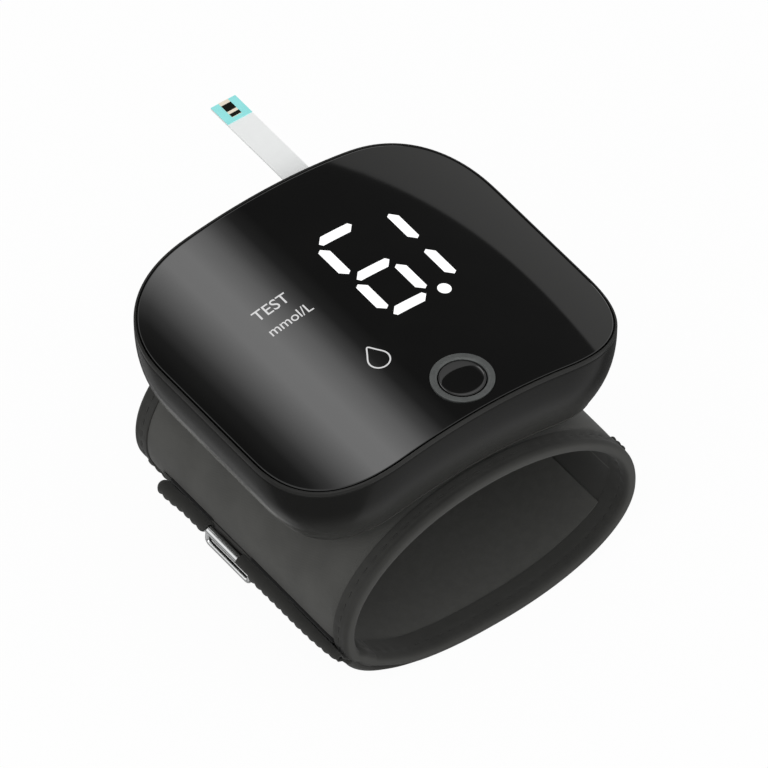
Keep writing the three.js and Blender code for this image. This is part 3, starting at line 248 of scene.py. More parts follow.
# %% [markdown]
# A finish collects the nodes of one material. Patterns read either the place on the
# object or the UV map, both in millimetres, so their scale is that of the real cloth
# or grain. It ends in the usual shader, or in plain light for what only shines.


# %% A material in the making
class Finish:
    """A material in the making. node() adds any node; close() sets the shader."""

    def __init__(self, name):
        self.material = bpy.data.materials.new(name)
        self.material.use_nodes = True
        self.tree = self.material.node_tree
        self.tree.nodes.clear()

    def node(self, kind, sockets=(), out=0, stops=None, **settings):
        """Adds a node: its settings first, then the values or links of its sockets."""
        made = self.tree.nodes.new(kind)
        for key, value in settings.items():
            setattr(made, key, value)
        if stops:
            ramp = made.color_ramp
            while len(ramp.elements) < len(stops):
                ramp.elements.new(1.0)
            for element, (place, color) in zip(ramp.elements, stops):
                element.position, element.color = place, (*color, 1.0)
        pairs = sockets.items() if isinstance(sockets, dict) else enumerate(sockets)
        for key, value in pairs:
            if isinstance(value, Wire):
                self.tree.links.new(value.socket, made.inputs[key])
            elif isinstance(value, tuple) and len(value) == 3 and made.inputs[key].type == "RGBA":
                made.inputs[key].default_value = (*value, 1.0)
            else:
                made.inputs[key].default_value = value
        return Wire(self, made.outputs[out]) if made.outputs else None

    def place(self):
        """The place on the object, in millimetres."""
        spot = self.node("ShaderNodeTexCoord", out="Object")
        return self.node("ShaderNodeVectorMath", {0: spot, 3: 1000.0}, operation="SCALE")

    def axes(self):
        """The x, y and z of that place."""
        spot = self.place()
        return [self.node("ShaderNodeSeparateXYZ", [spot], out=axis) for axis in range(3)]

    def across(self):
        """The two UV coordinates, in millimetres."""
        spot = self.node("ShaderNodeTexCoord", out="UV")
        return [self.node("ShaderNodeSeparateXYZ", [spot], out=axis) for axis in (0, 1)]

    def noise(self, scale, detail=3.0, roughness=0.55):
        """Soft noise from 0 to 1, with scale in features to the millimetre."""
        sockets = {"Vector": self.place(), "Scale": scale, "Detail": detail}
        return self.node("ShaderNodeTexNoise", {**sockets, "Roughness": roughness})

    def mix(self, mask, low, high):
        """The colour low where the mask is 0, and high where it is 1."""
        return self.node("ShaderNodeMix", {"Factor": mask, 6: low, 7: high}, 2, data_type="RGBA")

    def bump(self, height, distance, strength):
        """A normal from a height; distance is its full height in millimetres."""
        sockets = {"Strength": strength, "Distance": distance * MM, "Height": height}
        return self.node("ShaderNodeBump", sockets)

    def close(self, **sockets):
        """Ends the network in one Principled shader with these sockets."""
        named = {key.replace("_", " "): value for key, value in sockets.items()}
        shader = self.node("ShaderNodeBsdfPrincipled", named)
        self.node("ShaderNodeOutputMaterial", [shader])
        return self.material

    def shine(self, color, strength):
        """Ends the network in light alone."""
        light = self.node("ShaderNodeEmission", {"Color": color, "Strength": strength})
        self.node("ShaderNodeOutputMaterial", [light])
        return self.material


def scaled(color, share):
    """The same colour, darker or lighter by a share."""
    return tuple(c * share for c in color)


# %% [markdown]
# ### Gloss black acrylic
# The front is one sheet of clear acrylic, printed black from behind. It is nearly a
# mirror, so its colour is what it reflects. A trace of haze in the roughness keeps it
# from looking like ink. The mouldings round it have a fine grain. The wall of the bowl
# takes three more tones from its depth under the arch, all painted light and shade: a
# painted reflection makes it paler towards the foot and paler still on the left, and a
# painted shadow makes it black in the last half millimetre, where it meets the cuff.


# %% Black acrylic and black mouldings
def black_acrylic():
    """Almost no colour, a mirror finish, and a haze that comes and goes slowly."""
    finish = Finish("black_acrylic")
    haze = finish.noise(0.08, 4.0).ramp(0.35, 0.75)
    grain = finish.noise(0.5, 2.0)
    return finish.close(
        Base_Color=finish.mix(haze, (0.0022, 0.0022, 0.0021), (0.003, 0.003, 0.0028)),
        Roughness=haze * 0.012 + 0.035,
        IOR=1.5,
        Normal=finish.bump(grain, 0.0008, 0.5),
    )


# Painted light and shade on the bowl's wall: a painted reflection over these depths and low on the
# left, and a painted shadow at the foot's edge.
PAINTED_REFLECTION_FADE, GAP_SHADOW_FADE, GAP_SHADOW_COLOR = (6.0, 16.0), (19.25, 19.45), (0.003, 0.003, 0.003)
LEFT_REFLECTION_X, LEFT_REFLECTION_Y, LEFT_REFLECTION_FADE, LEFT_REFLECTION_SHARE = (-36.0, -34.0), (-24.0, -15.0), (8.5, 13.0), 5.4


def black_moulding(name, color, rough, grain_height=0.006, shine=0.2, painted_reflection_color=None):
    """Injection-moulded black plastic: a fine spark-eroded grain that breaks up the
    highlight, and a slow drift of gloss from one end of the moulding to the other. On a
    deep wall a painted reflection makes it paler towards its foot and on the left, and a
    painted shadow makes it black where it meets the cuff."""
    finish = Finish(name)
    drift = finish.noise(0.03, 3.0).ramp(0.3, 0.7)
    grain = finish.noise(6.0, 2.0, 0.6)
    base = finish.mix(drift, color, scaled(color, 1.25))
    if painted_reflection_color:
        x, y, z = finish.axes()
        x = x - float(CREST[0])
        spread = (0.5 / SEAT_RADIUS - 0.5 / ARCH_RADIUS) / METER_HEIGHT
        depth = (float(CREST[2]) - z - x * x / (2 * ARCH_RADIUS)) / (x * x * spread + 1.0)
        # Painted reflection: paler towards the foot, and paler still low on the left wall. Painted
        # shadow: black where the wall meets the cuff.
        left = (1.0 - x.ramp(*LEFT_REFLECTION_X)) * y.ramp(*LEFT_REFLECTION_Y)
        base = finish.mix(depth.ramp(*PAINTED_REFLECTION_FADE), base, painted_reflection_color)
        base = finish.mix(depth.ramp(*LEFT_REFLECTION_FADE) * left, base, scaled(painted_reflection_color, LEFT_REFLECTION_SHARE))
        base = finish.mix(depth.ramp(*GAP_SHADOW_FADE), base, GAP_SHADOW_COLOR)
    return finish.close(
        Base_Color=base,
        Roughness=drift * 0.05 + rough + grain * 0.03,
        IOR=1.46,
        Specular_IOR_Level=shine,
        Normal=finish.bump(grain, grain_height, 0.6),
    )


ACRYLIC = black_acrylic()
# Its last colour is the painted reflection towards the foot of the bowl.
HOUSING = black_moulding("housing_plastic", (0.0095, 0.0095, 0.009), 0.17, 0.004, 0.1,
                         (0.036, 0.036, 0.034))
BEZEL = black_moulding("bezel_plastic", (0.022, 0.022, 0.021), 0.14, 0.003, 0.1)
SADDLE = black_moulding("saddle_plastic", (0.01, 0.01, 0.0095), 0.4, 0.012)
INNER = black_moulding("inner_plastic", (0.02, 0.02, 0.021), 0.45, 0.01)
print("black finishes:", [made.name for made in (ACRYLIC, HOUSING, BEZEL, SADDLE, INNER)])


# %% [markdown]
# ### Metals
# The ring round the button is bead-blasted and anodised, so it scatters light evenly.
# The strap ring is drawn wire with bright plating, and only its fine drawing lines
# keep it from being a perfect mirror.


# %% Satin trim, bright wire, steel and gold
def metal(name, color, rough, scratch=0.1, scale=3.0, metallic=1.0):
    """Metal with fine drawing lines in its roughness and slow wear in its colour."""
    finish = Finish(name)
    lines = finish.noise(scale, 4.0, 0.7)
    wear = finish.noise(scale * 0.12, 2.0).ramp(0.3, 0.7)
    return finish.close(
        Base_Color=finish.mix(wear, color, scaled(color, 0.86)),
        Metallic=metallic,
        Roughness=lines * scratch + rough,
        Normal=finish.bump(lines, 0.002, 0.4),
    )


SATIN = metal("satin_trim", (0.085, 0.09, 0.088), 0.42, 0.1, 9.0, 0.55)
CHROME = metal("bright_wire", (0.78, 0.79, 0.79), 0.12, 0.04, 0.8)
STEEL = metal("screw_steel", (0.55, 0.56, 0.57), 0.28, 0.15)
GOLD = metal("gold_plate", (0.78, 0.6, 0.3), 0.25, 0.1)
FOIL = metal("cell_foil", (0.46, 0.47, 0.48), 0.35, 0.2, 1.2)
print("metals:", [made.name for made in (SATIN, CHROME, STEEL, GOLD, FOIL)])


# %% [markdown]
# ### Cloth
# Three cloths make the cuff. The outer one is a close twill bonded to foam, the tape
# on the rims is a ribbed binding, and the lining is a brushed loop fabric. Each
# pattern follows the UV map, which counts millimetres round the arm and along it.


# %% Twill, tape, brushed lining and thread
def cloth(finish, base, rough, shine, sheen, sheen_rough, height, depth):
    """Ends a cloth's network: matt, with a trace of sheen, and its weave as a bump."""
    return finish.close(
        Base_Color=base,
        Roughness=rough,
        Specular_IOR_Level=shine,
        Sheen_Weight=sheen,
        Sheen_Roughness=sheen_rough,
        Normal=finish.bump(height, depth, 0.5),
    )


def twill(name, color, pitch=0.42):
    """Diagonal ribs: a wave along the sum of both directions, crossed by a finer one."""
    finish = Finish(name)
    u, v = finish.across()
    rib = (u + v).wave(pitch)
    cross = (u - v).wave(pitch * 0.5)
    fuzz = finish.noise(5.0, 4.0, 0.7)
    cloud = finish.noise(0.09, 3.0).ramp(0.3, 0.7)
    weave = rib * 0.6 + cross * 0.25 + fuzz * 0.5
    shade = (weave * 0.28 + cloud * 0.4 + 0.2).ramp(0.0, 1.0)
    base = finish.mix(shade, scaled(color, 0.8), scaled(color, 1.2))
    return cloth(finish, base, 0.86, 0.25, 0.08, 0.5, weave, 0.035)


def binding_tape(name, color, painted_fold_light):
    """Fine close tape: ribs across it, hardly seen, and a painted highlight that makes it
    paler over the fold of a rim, which is where the second UV coordinate is zero."""
    finish = Finish(name)
    u, v = finish.across()
    rib, warp = u.wave(0.36), v.wave(0.3)
    fuzz = finish.noise(4.0, 4.0, 0.7)
    cloud = finish.noise(0.15, 3.0).ramp(0.3, 0.7)
    weave = rib * 0.35 + warp * 0.25 + fuzz * 0.5
    # Painted highlight along the rounded fold of the rim.
    fold = 1.0 - v.math("ABSOLUTE").ramp(0.3, 1.3)
    shade = (weave * 0.25 + cloud * 0.35 + 0.25).ramp(0.0, 1.0)
    base = finish.mix(shade, scaled(color, 0.85), scaled(color, 1.18))
    base = finish.mix(fold, base, painted_fold_light)
    return cloth(finish, base, 0.84, 0.25, 0.08, 0.45, weave, 0.03)


def brushed_cloth(name, color, shaded=None):
    """Short pile: clumps of fibre at two scales and no direction. From one place round
    the girth to another, past its start, painted shade makes it darker."""
    finish = Finish(name)
    pile = finish.noise(2.2, 5.0, 0.75)
    clump = finish.noise(0.5, 3.0).ramp(0.3, 0.7)
    height = pile * 0.8 + clump * 0.3
    base = finish.mix(height.ramp(0.3, 0.9), scaled(color, 0.92), scaled(color, 1.08))
    if shaded:
        # Painted shade: from the first place round to the last, the cloth is darker.
        first, last, second_color = shaded
        u = finish.across()[0]
        painted_shade_span = u.ramp(first - 0.1, first + 0.1) + 1.0 - u.ramp(last - 9.0, last)
        base = finish.mix(painted_shade_span.math("MINIMUM", 1.0), base, second_color)
    return cloth(finish, base, 0.93, 0.2, 0.1, 0.6, height, 0.04)


CLOTH = twill("cuff_cloth", (0.062, 0.062, 0.058))
# The second colour is the painted highlight on the fold.
TAPE = binding_tape("binding_tape", (0.029, 0.029, 0.027), (0.047, 0.047, 0.044))
STRAP = brushed_cloth("strap_tape", (0.024, 0.024, 0.022))
THREAD = brushed_cloth("sewing_thread", (0.022, 0.022, 0.02))
# Painted shadow: a near-black cloth for the cords that stand for the shade in the gap beside the
# loops.
PAINTED_GAP_SHADOW = brushed_cloth("gap_shadow_cord", (0.005, 0.005, 0.005))
print("cloths:", [made.name for made in (CLOTH, TAPE, STRAP, THREAD, PAINTED_GAP_SHADOW)])


# %% [markdown]
# ### The test strip and the parts inside
# The strip is a white film with a tinted one over its far end. Inside are a green
# board, moulded white for the light block, and small black components.


# %% Films, board and light
def smooth_film(name, color, rough=0.3, drift=0.04, shine=0.5):
    """A smooth film or moulding whose colour and gloss drift by a trace."""
    finish = Finish(name)
    cloud = finish.noise(0.35, 2.0).ramp(0.3, 0.7)
    edge = tuple(max(c - drift, 0.0) for c in color)
    return finish.close(
        Base_Color=finish.mix(cloud, color, edge),
        Roughness=cloud * 0.06 + rough,
        IOR=1.5,
        Specular_IOR_Level=shine,
        Normal=finish.bump(finish.noise(1.5, 2.0), 0.004, 0.3),
    )


def circuit_board():
    """Green lacquer over tracks: the product of two waves, cut off sharply."""
    finish = Finish("circuit_board")
    x, y, _ = finish.axes()
    tracks = (x.wave(2.4) * y.wave(5.1)).ramp(0.55, 0.6)
    return finish.close(
        Base_Color=finish.mix(tracks, (0.015, 0.11, 0.045), (0.03, 0.19, 0.085)),
        Roughness=0.38,
        Normal=finish.bump(tracks, 0.03, 0.5),
    )


def lit(name, color, strength):
    """A lit print: it gives its own light, a little dimmer in some places."""
    finish = Finish(name)
    cloud = finish.noise(0.8, 2.0).ramp(0.2, 0.8)
    return finish.close(
        Base_Color=(0.02, 0.02, 0.02),
        Roughness=0.4,
        Emission_Color=finish.mix(cloud, color, scaled(color, 0.96)),
        Emission_Strength=strength,
    )


WHITE_FILM = smooth_film("strip_film", (0.97, 0.985, 0.98), 0.3, 0.02)
BLUE_FILM = smooth_film("strip_tint", (0.36, 0.93, 0.92), 0.22)
PAD_INK = smooth_film("carbon_ink", (0.006, 0.007, 0.004), 0.5, 0.002, 0.06)
PALE_GOLD = smooth_film("pale_gold", (0.95, 0.86, 0.7), 0.3, 0.05)
LIGHT_BLOCK = smooth_film("light_block", (0.8, 0.8, 0.78), 0.4)
BOARD = circuit_board()
DIGIT_LIGHT = lit("digit_light", (1.0, 1.0, 1.0), 1.15)
LEGEND_LIGHT = lit("legend_light", (0.9, 0.9, 0.9), 0.72)
print("finishes so far:", len(bpy.data.materials))

# %% Finishes of the solids that stay
STAYING = {
    STEEL: [f"housing_screw_{i}" for i in (1, 2, 3, 4)]
    + ["board_screw_1", "board_screw_2", "saddle_screw_1", "saddle_screw_2", "charge_socket"],
    GOLD: ["strip_contact_1", "strip_contact_2", "strip_contact_3"],
    PALE_GOLD: ["strip_gold_track"],
    BOARD: ["main_board"],
    INNER: ["control_chip", "tact_switch", "strip_port", "strip_socket", "battery_tray", "buzzer"],
    LIGHT_BLOCK: ["digit_reflector", "display_film"],
    FOIL: ["battery_cell"],
    WHITE_FILM: ["strip_base"],
    BLUE_FILM: ["strip_tip"],
    PAD_INK: ["strip_pad_1", "strip_pad_2"],
    SADDLE: ["saddle_plate"],
}
for finish_of, names in STAYING.items():
    for name in names:
        slots = NODES[name].data.materials
        slots.clear()
        slots.append(finish_of)
print("solids with a new finish:", sum(len(names) for names in STAYING.values()))

# %% [markdown]
# ## The camera and the studio
# The camera looks at the front left corner from above with a long lens, so that lines
# that are parallel stay nearly parallel. The floor is white. The object stands on it
# by the flat of its cuff.

# %% Camera
RIGHT = np.array([0.7997, -0.6004, 0.0])
UP = np.array([0.4421, 0.5888, 0.6766])
BACK = np.array([-0.4063, -0.5411, 0.7363])
CAMERA_DISTANCE = 2500.0
TARGET = CREST + 1.694 * RIGHT - 16.87 * UP
EYE = TARGET + CAMERA_DISTANCE * BACK
camera = linked("camera", bpy.data.cameras.new("camera"))
camera.data.lens, camera.data.sensor_width = 601.2, 36.0
camera.data.clip_end = 20.0
turn = np.eye(4)
turn[:3, 0], turn[:3, 1], turn[:3, 2], turn[:3, 3] = RIGHT, UP, BACK, EYE * MM
camera.matrix_world = Matrix(turn.tolist())
bpy.context.scene.camera = camera
bpy.context.scene.view_settings.view_transform = "Standard"
print("camera at", EYE.round(0), "mm, looks at", TARGET.round(1))


# %% [markdown]
# ### Light
# A white room lights the object softly from all sides. In the gloss of the glass it
# would show as flat grey, so a large screen stands where the glass looks: dark in the
# middle, with one soft bright band and one grey field. Only reflections see it.
# Each point of the screen is found by following the camera's ray off the glass.


# %% Room and floor
ROOM_STRENGTH, FLOOR_HALF = 0.62, 4000.0


def background_rays(tree):
    """1 for the rays that show the background: straight, off gloss and through glass."""
    rays = tree.nodes.new("ShaderNodeLightPath")
    shown = rays.outputs["Is Camera Ray"]
    for kind in ("Is Glossy Ray", "Is Transmission Ray"):
        either = tree.nodes.new("ShaderNodeMath")
        either.operation = "MAXIMUM"
        tree.links.new(shown, either.inputs[0])
        tree.links.new(rays.outputs[kind], either.inputs[1])
        shown = either.outputs[0]
    return shown


def room_light():
    """A white world: soft on the object, and at full strength where it shows."""
    world = bpy.data.worlds.new("room")
    bpy.context.scene.world = world
    world.use_nodes = True
    tree = world.node_tree
    tree.nodes.clear()
    blend = tree.nodes.new("ShaderNodeMixShader")
    out = tree.nodes.new("ShaderNodeOutputWorld")
    tree.links.new(background_rays(tree), blend.inputs[0])
    for socket, strength in ((1, ROOM_STRENGTH), (2, 1.0)):
        white = tree.nodes.new("ShaderNodeBackground")
        white.inputs["Color"].default_value = (1.0, 1.0, 1.0, 1.0)
        white.inputs["Strength"].default_value = strength
        tree.links.new(white.outputs[0], blend.inputs[socket])
    tree.links.new(blend.outputs[0], out.inputs[0])


# %% Floor
def floor_finish():
    """White where it is seen, with a small share of real light to carry the shadow."""
    finish = Finish("floor")
    rays = Wire(finish, background_rays(finish.tree))
    plain = finish.node("ShaderNodeBsdfDiffuse", {"Color": (0.9, 0.9, 0.9)})
    white = finish.node("ShaderNodeEmission", {"Color": (1.0, 1.0, 1.0), "Strength": 1.0})
    blend = finish.node("ShaderNodeMixShader", [rays * 0.96, plain, white])
    finish.node("ShaderNodeOutputMaterial", [blend])
    return finish.material


def stage_mesh(name, points, faces, material, uv=None, only_gloss=False):
    """Floor, card or screen: a mesh that isn't part of the object."""
    mesh = mesh_of(name, points, faces, uv)
    mesh.materials.append(material)
    obj = linked(name, mesh)
    for ray in ("camera", "diffuse", "transmission", "volume_scatter", "shadow"):
        setattr(obj, "visible_" + ray, not only_gloss)


def stage_square(name, half, height, material, only_gloss=False):
    """A level square round the origin, from its half side and its height."""
    corners = [(-half, -half, height), (half, -half, height), (half, half, height),
               (-half, half, height)]
    stage_mesh(name, corners, [(0, 1, 2, 3)], material, None, only_gloss)


room_light()
stage_square("floor", FLOOR_HALF, 0, floor_finish())
print("room strength", ROOM_STRENGTH, "floor", 2 * FLOOR_HALF * MM, "m wide")

# %% [markdown]
# ### What the gloss sees of the floor
# A mirror-like wall shows the floor, so its tones are those of the floor. A card just
# over the floor, seen by reflections alone, holds them: pale grey further out, dark
# next to the cuff, a painted shadow of the cuff, dark in a wedge from the front left
# corner, and a bright strip of painted light along the cuff's left side.


# %% Card and lamps
CARD_HALF, CARD_HEIGHT = 300.0, 0.6
WEDGE_TIP, WEDGE_TURN, WEDGE_EDGE = (-30.0, -27.0), math.radians(210), (0.32, 0.42)
CUFF_SHADOW_X, CUFF_SHADOW_Y = (-47.0, -45.0), (-50.0, -42.0)
LIGHT_STRIP_IN, LIGHT_STRIP_OUT, LIGHT_STRIP_Y = (-43.0, -40.0), (-37.0, -35.0), (-15.0, 0.0)
FAR_X, LAMP_AIM = (-62.0, -50.0), (0, 0, 30)
# The dark tone serves the painted shadow next to the cuff and the wedge; the strip's tone is
# painted light.
CARD_TONES = {"far": 0.3, "mid": 0.52, "dark": 0.1, "strip": 0.65}


def dark_card():
    """Tones by place on the card: each zone is a product of ramps along x and y, and
    the wedge is bounded by the cosine of the direction from its tip."""
    finish = Finish("card")
    x, y, _ = finish.axes()
    away_x, away_y = x - WEDGE_TIP[0], y - WEDGE_TIP[1]
    reach = (away_x * away_x + away_y * away_y) ** 0.5
    cosine = (away_x * math.cos(WEDGE_TURN) + away_y * math.sin(WEDGE_TURN)) / reach
    # Painted shadow of the cuff on the floor, next to and under it.
    near = x.ramp(*CUFF_SHADOW_X) * y.ramp(*CUFF_SHADOW_Y)
    dark = cosine.ramp(*WEDGE_EDGE).math("MAXIMUM", near)
    # Painted light: a bright strip along the cuff's left side.
    strip = x.ramp(*LIGHT_STRIP_IN) * (1.0 - x.ramp(*LIGHT_STRIP_OUT)) * y.ramp(*LIGHT_STRIP_Y)
    far, mid, deep, bright = ((tone,) * 3 for tone in CARD_TONES.values())
    light = finish.mix(x.ramp(*FAR_X), far, mid)
    light = finish.mix(strip, finish.mix(dark, light, deep), bright)
    stage_square("card", CARD_HALF, CARD_HEIGHT, finish.shine(light, 1.0), True)


def area_light(name, place, size, power):
    """A rectangular lamp aimed at the cuff: its place in millimetres, its size in
    metres. The camera doesn't see it."""
    data = bpy.data.lights.new(name, "AREA")
    data.shape, data.size, data.size_y, data.energy = "RECTANGLE", size[0], size[1], power
    obj = linked(name, data)
    toward = np.asarray(LAMP_AIM, float) * MM - np.asarray(place, float) * MM
    obj.location = np.asarray(place, float) * MM
    obj.rotation_euler = Vector(toward).to_track_quat("-Z", "Y").to_euler()
    obj.visible_camera = False
    print(name, "lamp:", power, "W")


dark_card()
area_light("key", (-500, -350, 600), (0.5, 0.5), 2.2)
area_light("fill", (350, -600, 350), (0.6, 0.4), 1.0)


# %% The screen that the glass reflects
BAND_TONES = {0.12: 0.03, 0.19: 0.07, 0.25: 0.23, 0.32: 0.57, 0.43: 1.08,
              0.53: 1.1, 0.645: 0.7, 0.71: 0.33, 0.78: 0.085, 0.86: 0.035}
BAND_START, BAND_WIDTH, FIELD_TONE, SCREEN_STRENGTH = -45.0, 45.0, (0.185, 0.185, 0.182), 3.2
FIELD_X, FIELD_SLOPE, FIELD_BEND, FIELD_TWIST, FIELD_SOFT = 28.684, 0.125, 0.00583, 0.00004, 0.35


def arch(x):
    """Height of the glass against its crest: a circle's arc, taken as a parabola."""
    return -(x**2) / (2 * ARCH_RADIUS)


def screen_finish():
    """Light by place on the glass, u across it and v along the arm: a soft band on the
    left, dark in the middle, and a grey field beyond a curved edge on the right."""
    finish = Finish("screen")
    u, v = finish.across()
    stops = [(place, (tone,) * 3) for place, tone in BAND_TONES.items()]
    share = (u - BAND_START) / BAND_WIDTH
    band = finish.node("ShaderNodeValToRGB", [share], stops=stops)
    edge = FIELD_X - v * FIELD_SLOPE - v * v * FIELD_BEND - v * v * v * FIELD_TWIST
    light = finish.mix((u - edge).ramp(-FIELD_SOFT, FIELD_SOFT), band, FIELD_TONE)
    return finish.shine(light, SCREEN_STRENGTH)


def glass_screen(reach=420.0, half=62.0, rows=90, cols=40):
    """For each place on the glass the camera's ray is turned about the glass's normal,
    and the screen's point lies at a fixed reach along it."""
    x, y = np.meshgrid(*(np.linspace(-half, half, n) for n in (rows, cols)), indexing="ij")
    spot = np.stack([x, y, arch(x)], -1) + CREST
    view = EYE - spot
    view /= np.linalg.norm(view, axis=-1, keepdims=True)
    normal = np.stack([x / ARCH_RADIUS, 0 * x, 1 + 0 * x], -1)
    normal /= np.linalg.norm(normal, axis=-1, keepdims=True)
    bounce = 2 * (normal * view).sum(-1, keepdims=True) * normal - view
    points = (spot + reach * bounce).reshape(-1, 3)
    uv = np.stack([x, y], -1).reshape(-1, 2)
    faces = grid_faces(rows, cols, False, False)
    stage_mesh("screen", points, faces, screen_finish(), uv, True)
    print("screen:", len(faces), "faces,", reach, "mm from the glass")


glass_screen()

# %% [markdown]
# ## The housing
# Three mouldings show: the sheet of acrylic, the thin rim that frames it, and a deep
# bowl. All share one outline, straight sides joined by corners that tighten slowly,
# and every height is a function of the place on that outline.


# %% The outline and the bowl's surface
def outline(inset_x, inset_y, corner_steps=30, span_steps=22):
    """Plan of the housing at an inset, as points round it: each corner is a quarter of
    a superellipse, and the sides between corners are straight."""
    half_x, half_y = METER_WIDTH / 2 - inset_x, METER_DEEP / 2 - inset_y
    corner = max(CORNER_MIN, CORNER_REACH - (inset_x + inset_y) / 2)
    angle = np.linspace(0, math.pi / 2, corner_steps + 1)
    power = 2 / CORNER_POWER
    across = half_x - corner + corner * np.cos(angle) ** power
    along = half_y - corner + corner * np.sin(angle) ** power
    quarter = np.stack([across, along], -1)
    turned = quarter[::-1] * [-1, 1]
    top = np.stack([np.linspace(1, -1, span_steps + 1)[1:-1] * (half_x - corner),
                    np.full(span_steps - 1, half_y)], -1)
    side = np.stack([np.full(5, -half_x), np.linspace(1, -1, 7)[1:-1] * (half_y - corner)], -1)
    half = np.concatenate([quarter, top, turned, side])
    return np.concatenate([half, -half])


def bowl_ring(depth, inset):
    """The outline at a depth, drawn in by a power of the depth; its arch passes from
    that of the glass to that of the seat on the cuff."""
    level = max(depth, 0.0) / METER_HEIGHT
    drawn = level**BOWL_POWER
    ring = outline(BOWL_SIDE * drawn + inset, BOWL_FRONT * drawn + inset)
    drop = arch(ring[:, 0]) * (1 - level) - ring[:, 0] ** 2 / (2 * SEAT_RADIUS) * level
    return np.column_stack([ring, drop - depth])


def arch_ring(depth, inset):
    """The outline at an inset, at a depth under the arch of the glass."""
    ring = outline(inset, inset)
    return np.column_stack([ring, arch(ring[:, 0]) - depth])


def sunk(ring, share, depth):
    """A ring drawn towards its middle by a share, on the arch of the seat."""
    flat = ring[:, :2] * share
    return np.column_stack([flat, -flat[:, 0] ** 2 / (2 * SEAT_RADIUS) - depth])


def strips(rings):
    """A grid from rings: its part for piece(), with UV along and across."""
    points, faces, _ = ring_part(rings)
    return points + CREST, faces, points[..., :2]


print("outline:", len(outline(0, 0)), "points, foot at", bowl_ring(METER_HEIGHT, 0)[:, 0].max())


# %% Acrylic front
def glass_front():
    """The face is a fan of straight lines from the button hole to the outline, so the
    hole is round and the face follows the arch; a small chamfer ends it all round."""
    inset = BEZEL_LAND + LENS_GAP
    rim = outline(inset, inset)
    angle = np.arctan2(rim[:, 1] - BUTTON[1], rim[:, 0] - BUTTON[0])
    hole = BUTTON + (RING_RADIUS + 0.12) * np.stack([np.cos(angle), np.sin(angle)], -1)
    share = np.linspace(0, 1, 40)[:, None, None] ** 1.3
    flat = hole + (outline(inset + 0.22, inset + 0.22) - hole) * share
    face = np.concatenate([flat, arch(flat[..., :1])], -1)
    steps = ((0.05, inset + 0.08), (0.2, inset), (LENS_THICKNESS, inset))
    chamfer = [arch_ring(depth, at) for depth, at in steps]
    under = np.concatenate([flat, arch(flat[..., :1]) - LENS_THICKNESS], -1)[::-3]
    first = np.column_stack([hole, arch(hole[:, 0]) - LENS_THICKNESS])
    rings = np.concatenate([face, chamfer, under, first[None], face[:1]])
    piece("glass_front", [strips(rings)], "meter", ACRYLIC,
          sharp=15, replaces=["display_lens"])


glass_front()


# %% Rim round the glass
def glass_rim():
    """A section of land, outer wall and inner ledge carried round the outline, with its
    outer edges rounded and a bevel towards the glass."""
    section = rounded(
        [(0, 0.0), (BEZEL_LAND, 0.0), (BEZEL_LAND, 1.3), (4.5, 1.3), (4.5, 2.6), (3.6, 2.6),
         (3.6, 5.0), (2.3, 5.0), (2.3, BEZEL_HEIGHT), (0.28, BEZEL_HEIGHT), (0.28, RIM_SKIRT),
         (0, RIM_SKIRT)],
        [0.22, 0.06, 0.05, 0.05, 0.05, 0.05, 0.05, 0.05, 0.05, 0.05, 0.03, 0.06], 4,
    )
    rings = np.asarray([arch_ring(depth, inset) for inset, depth in section])
    piece("glass_rim", [ring_part(rings + CREST, True)], "meter", BEZEL,
          sharp=40, replaces=["bezel_frame"])


glass_rim()


# %% Bowl
BOWL_WALL, FOOT_RADIUS = 2.0, 0.6
BEAD_DEPTH, BEAD_ROWS, BEAD_RISE, BEAD_HALF = 18.95, (18.55, 19.25), 0.13, 0.22


def bowl():
    """Outside from a thin lip at the parting line down to the rounded foot, with a fine
    bead along the foot, then the floor that lies on the saddle; inside the same surface
    one wall thickness in."""
    top, lip = BEZEL_HEIGHT + PARTING, RIM_SKIRT + PARTING
    outside = [bowl_ring(top, 0.24), bowl_ring(lip + 0.05, 0.24), bowl_ring(lip, 0.2),
               bowl_ring(lip, 0.06), bowl_ring(lip + 0.03, 0.02)]
    depths = np.sort(np.append(np.linspace(lip + 0.1, METER_HEIGHT - FOOT_RADIUS, 36),
                               np.linspace(*BEAD_ROWS, 8)))
    outside += [bowl_ring(d, -BEAD_RISE * math.exp(-(((d - BEAD_DEPTH) / BEAD_HALF) ** 2)))
                for d in depths]
    turn_in = np.linspace(0, math.pi / 2, 7)[1:]
    foot = [bowl_ring(METER_HEIGHT - FOOT_RADIUS * (1 - math.sin(a)),
                      FOOT_RADIUS * (1 - math.cos(a))) for a in turn_in]
    base = foot[-1]
    under = [sunk(base, s, METER_HEIGHT) for s in np.linspace(0.96, 0.0, 18)]
    floor = METER_HEIGHT - BOWL_WALL
    inside = [bowl_ring(d, BOWL_WALL) for d in np.linspace(top, floor, 16)]
    over = [sunk(inside[-1], s, floor) for s in np.linspace(0.94, 0.0, 8)]
    rings = over[::-1] + inside[::-1] + outside + foot + under
    return piece("bowl", [strips(rings)], "meter", HOUSING,
                 sharp=50, replaces=["lower_housing"])


BOWL = bowl()


# %% Holes in the bowl
def cut(obj, tools):
    """Cuts closed tools out of an object and removes them."""
    for tool in tools:
        modifier = obj.modifiers.new("hole", "BOOLEAN")
        modifier.operation, modifier.solver, modifier.object = "DIFFERENCE", "EXACT", tool
    evaluated = obj.evaluated_get(bpy.context.evaluated_depsgraph_get())
    mesh = bpy.data.meshes.new_from_object(evaluated)
    obj.modifiers.clear()
    obj.data = mesh
    for tool in tools:
        bpy.data.objects.remove(tool)


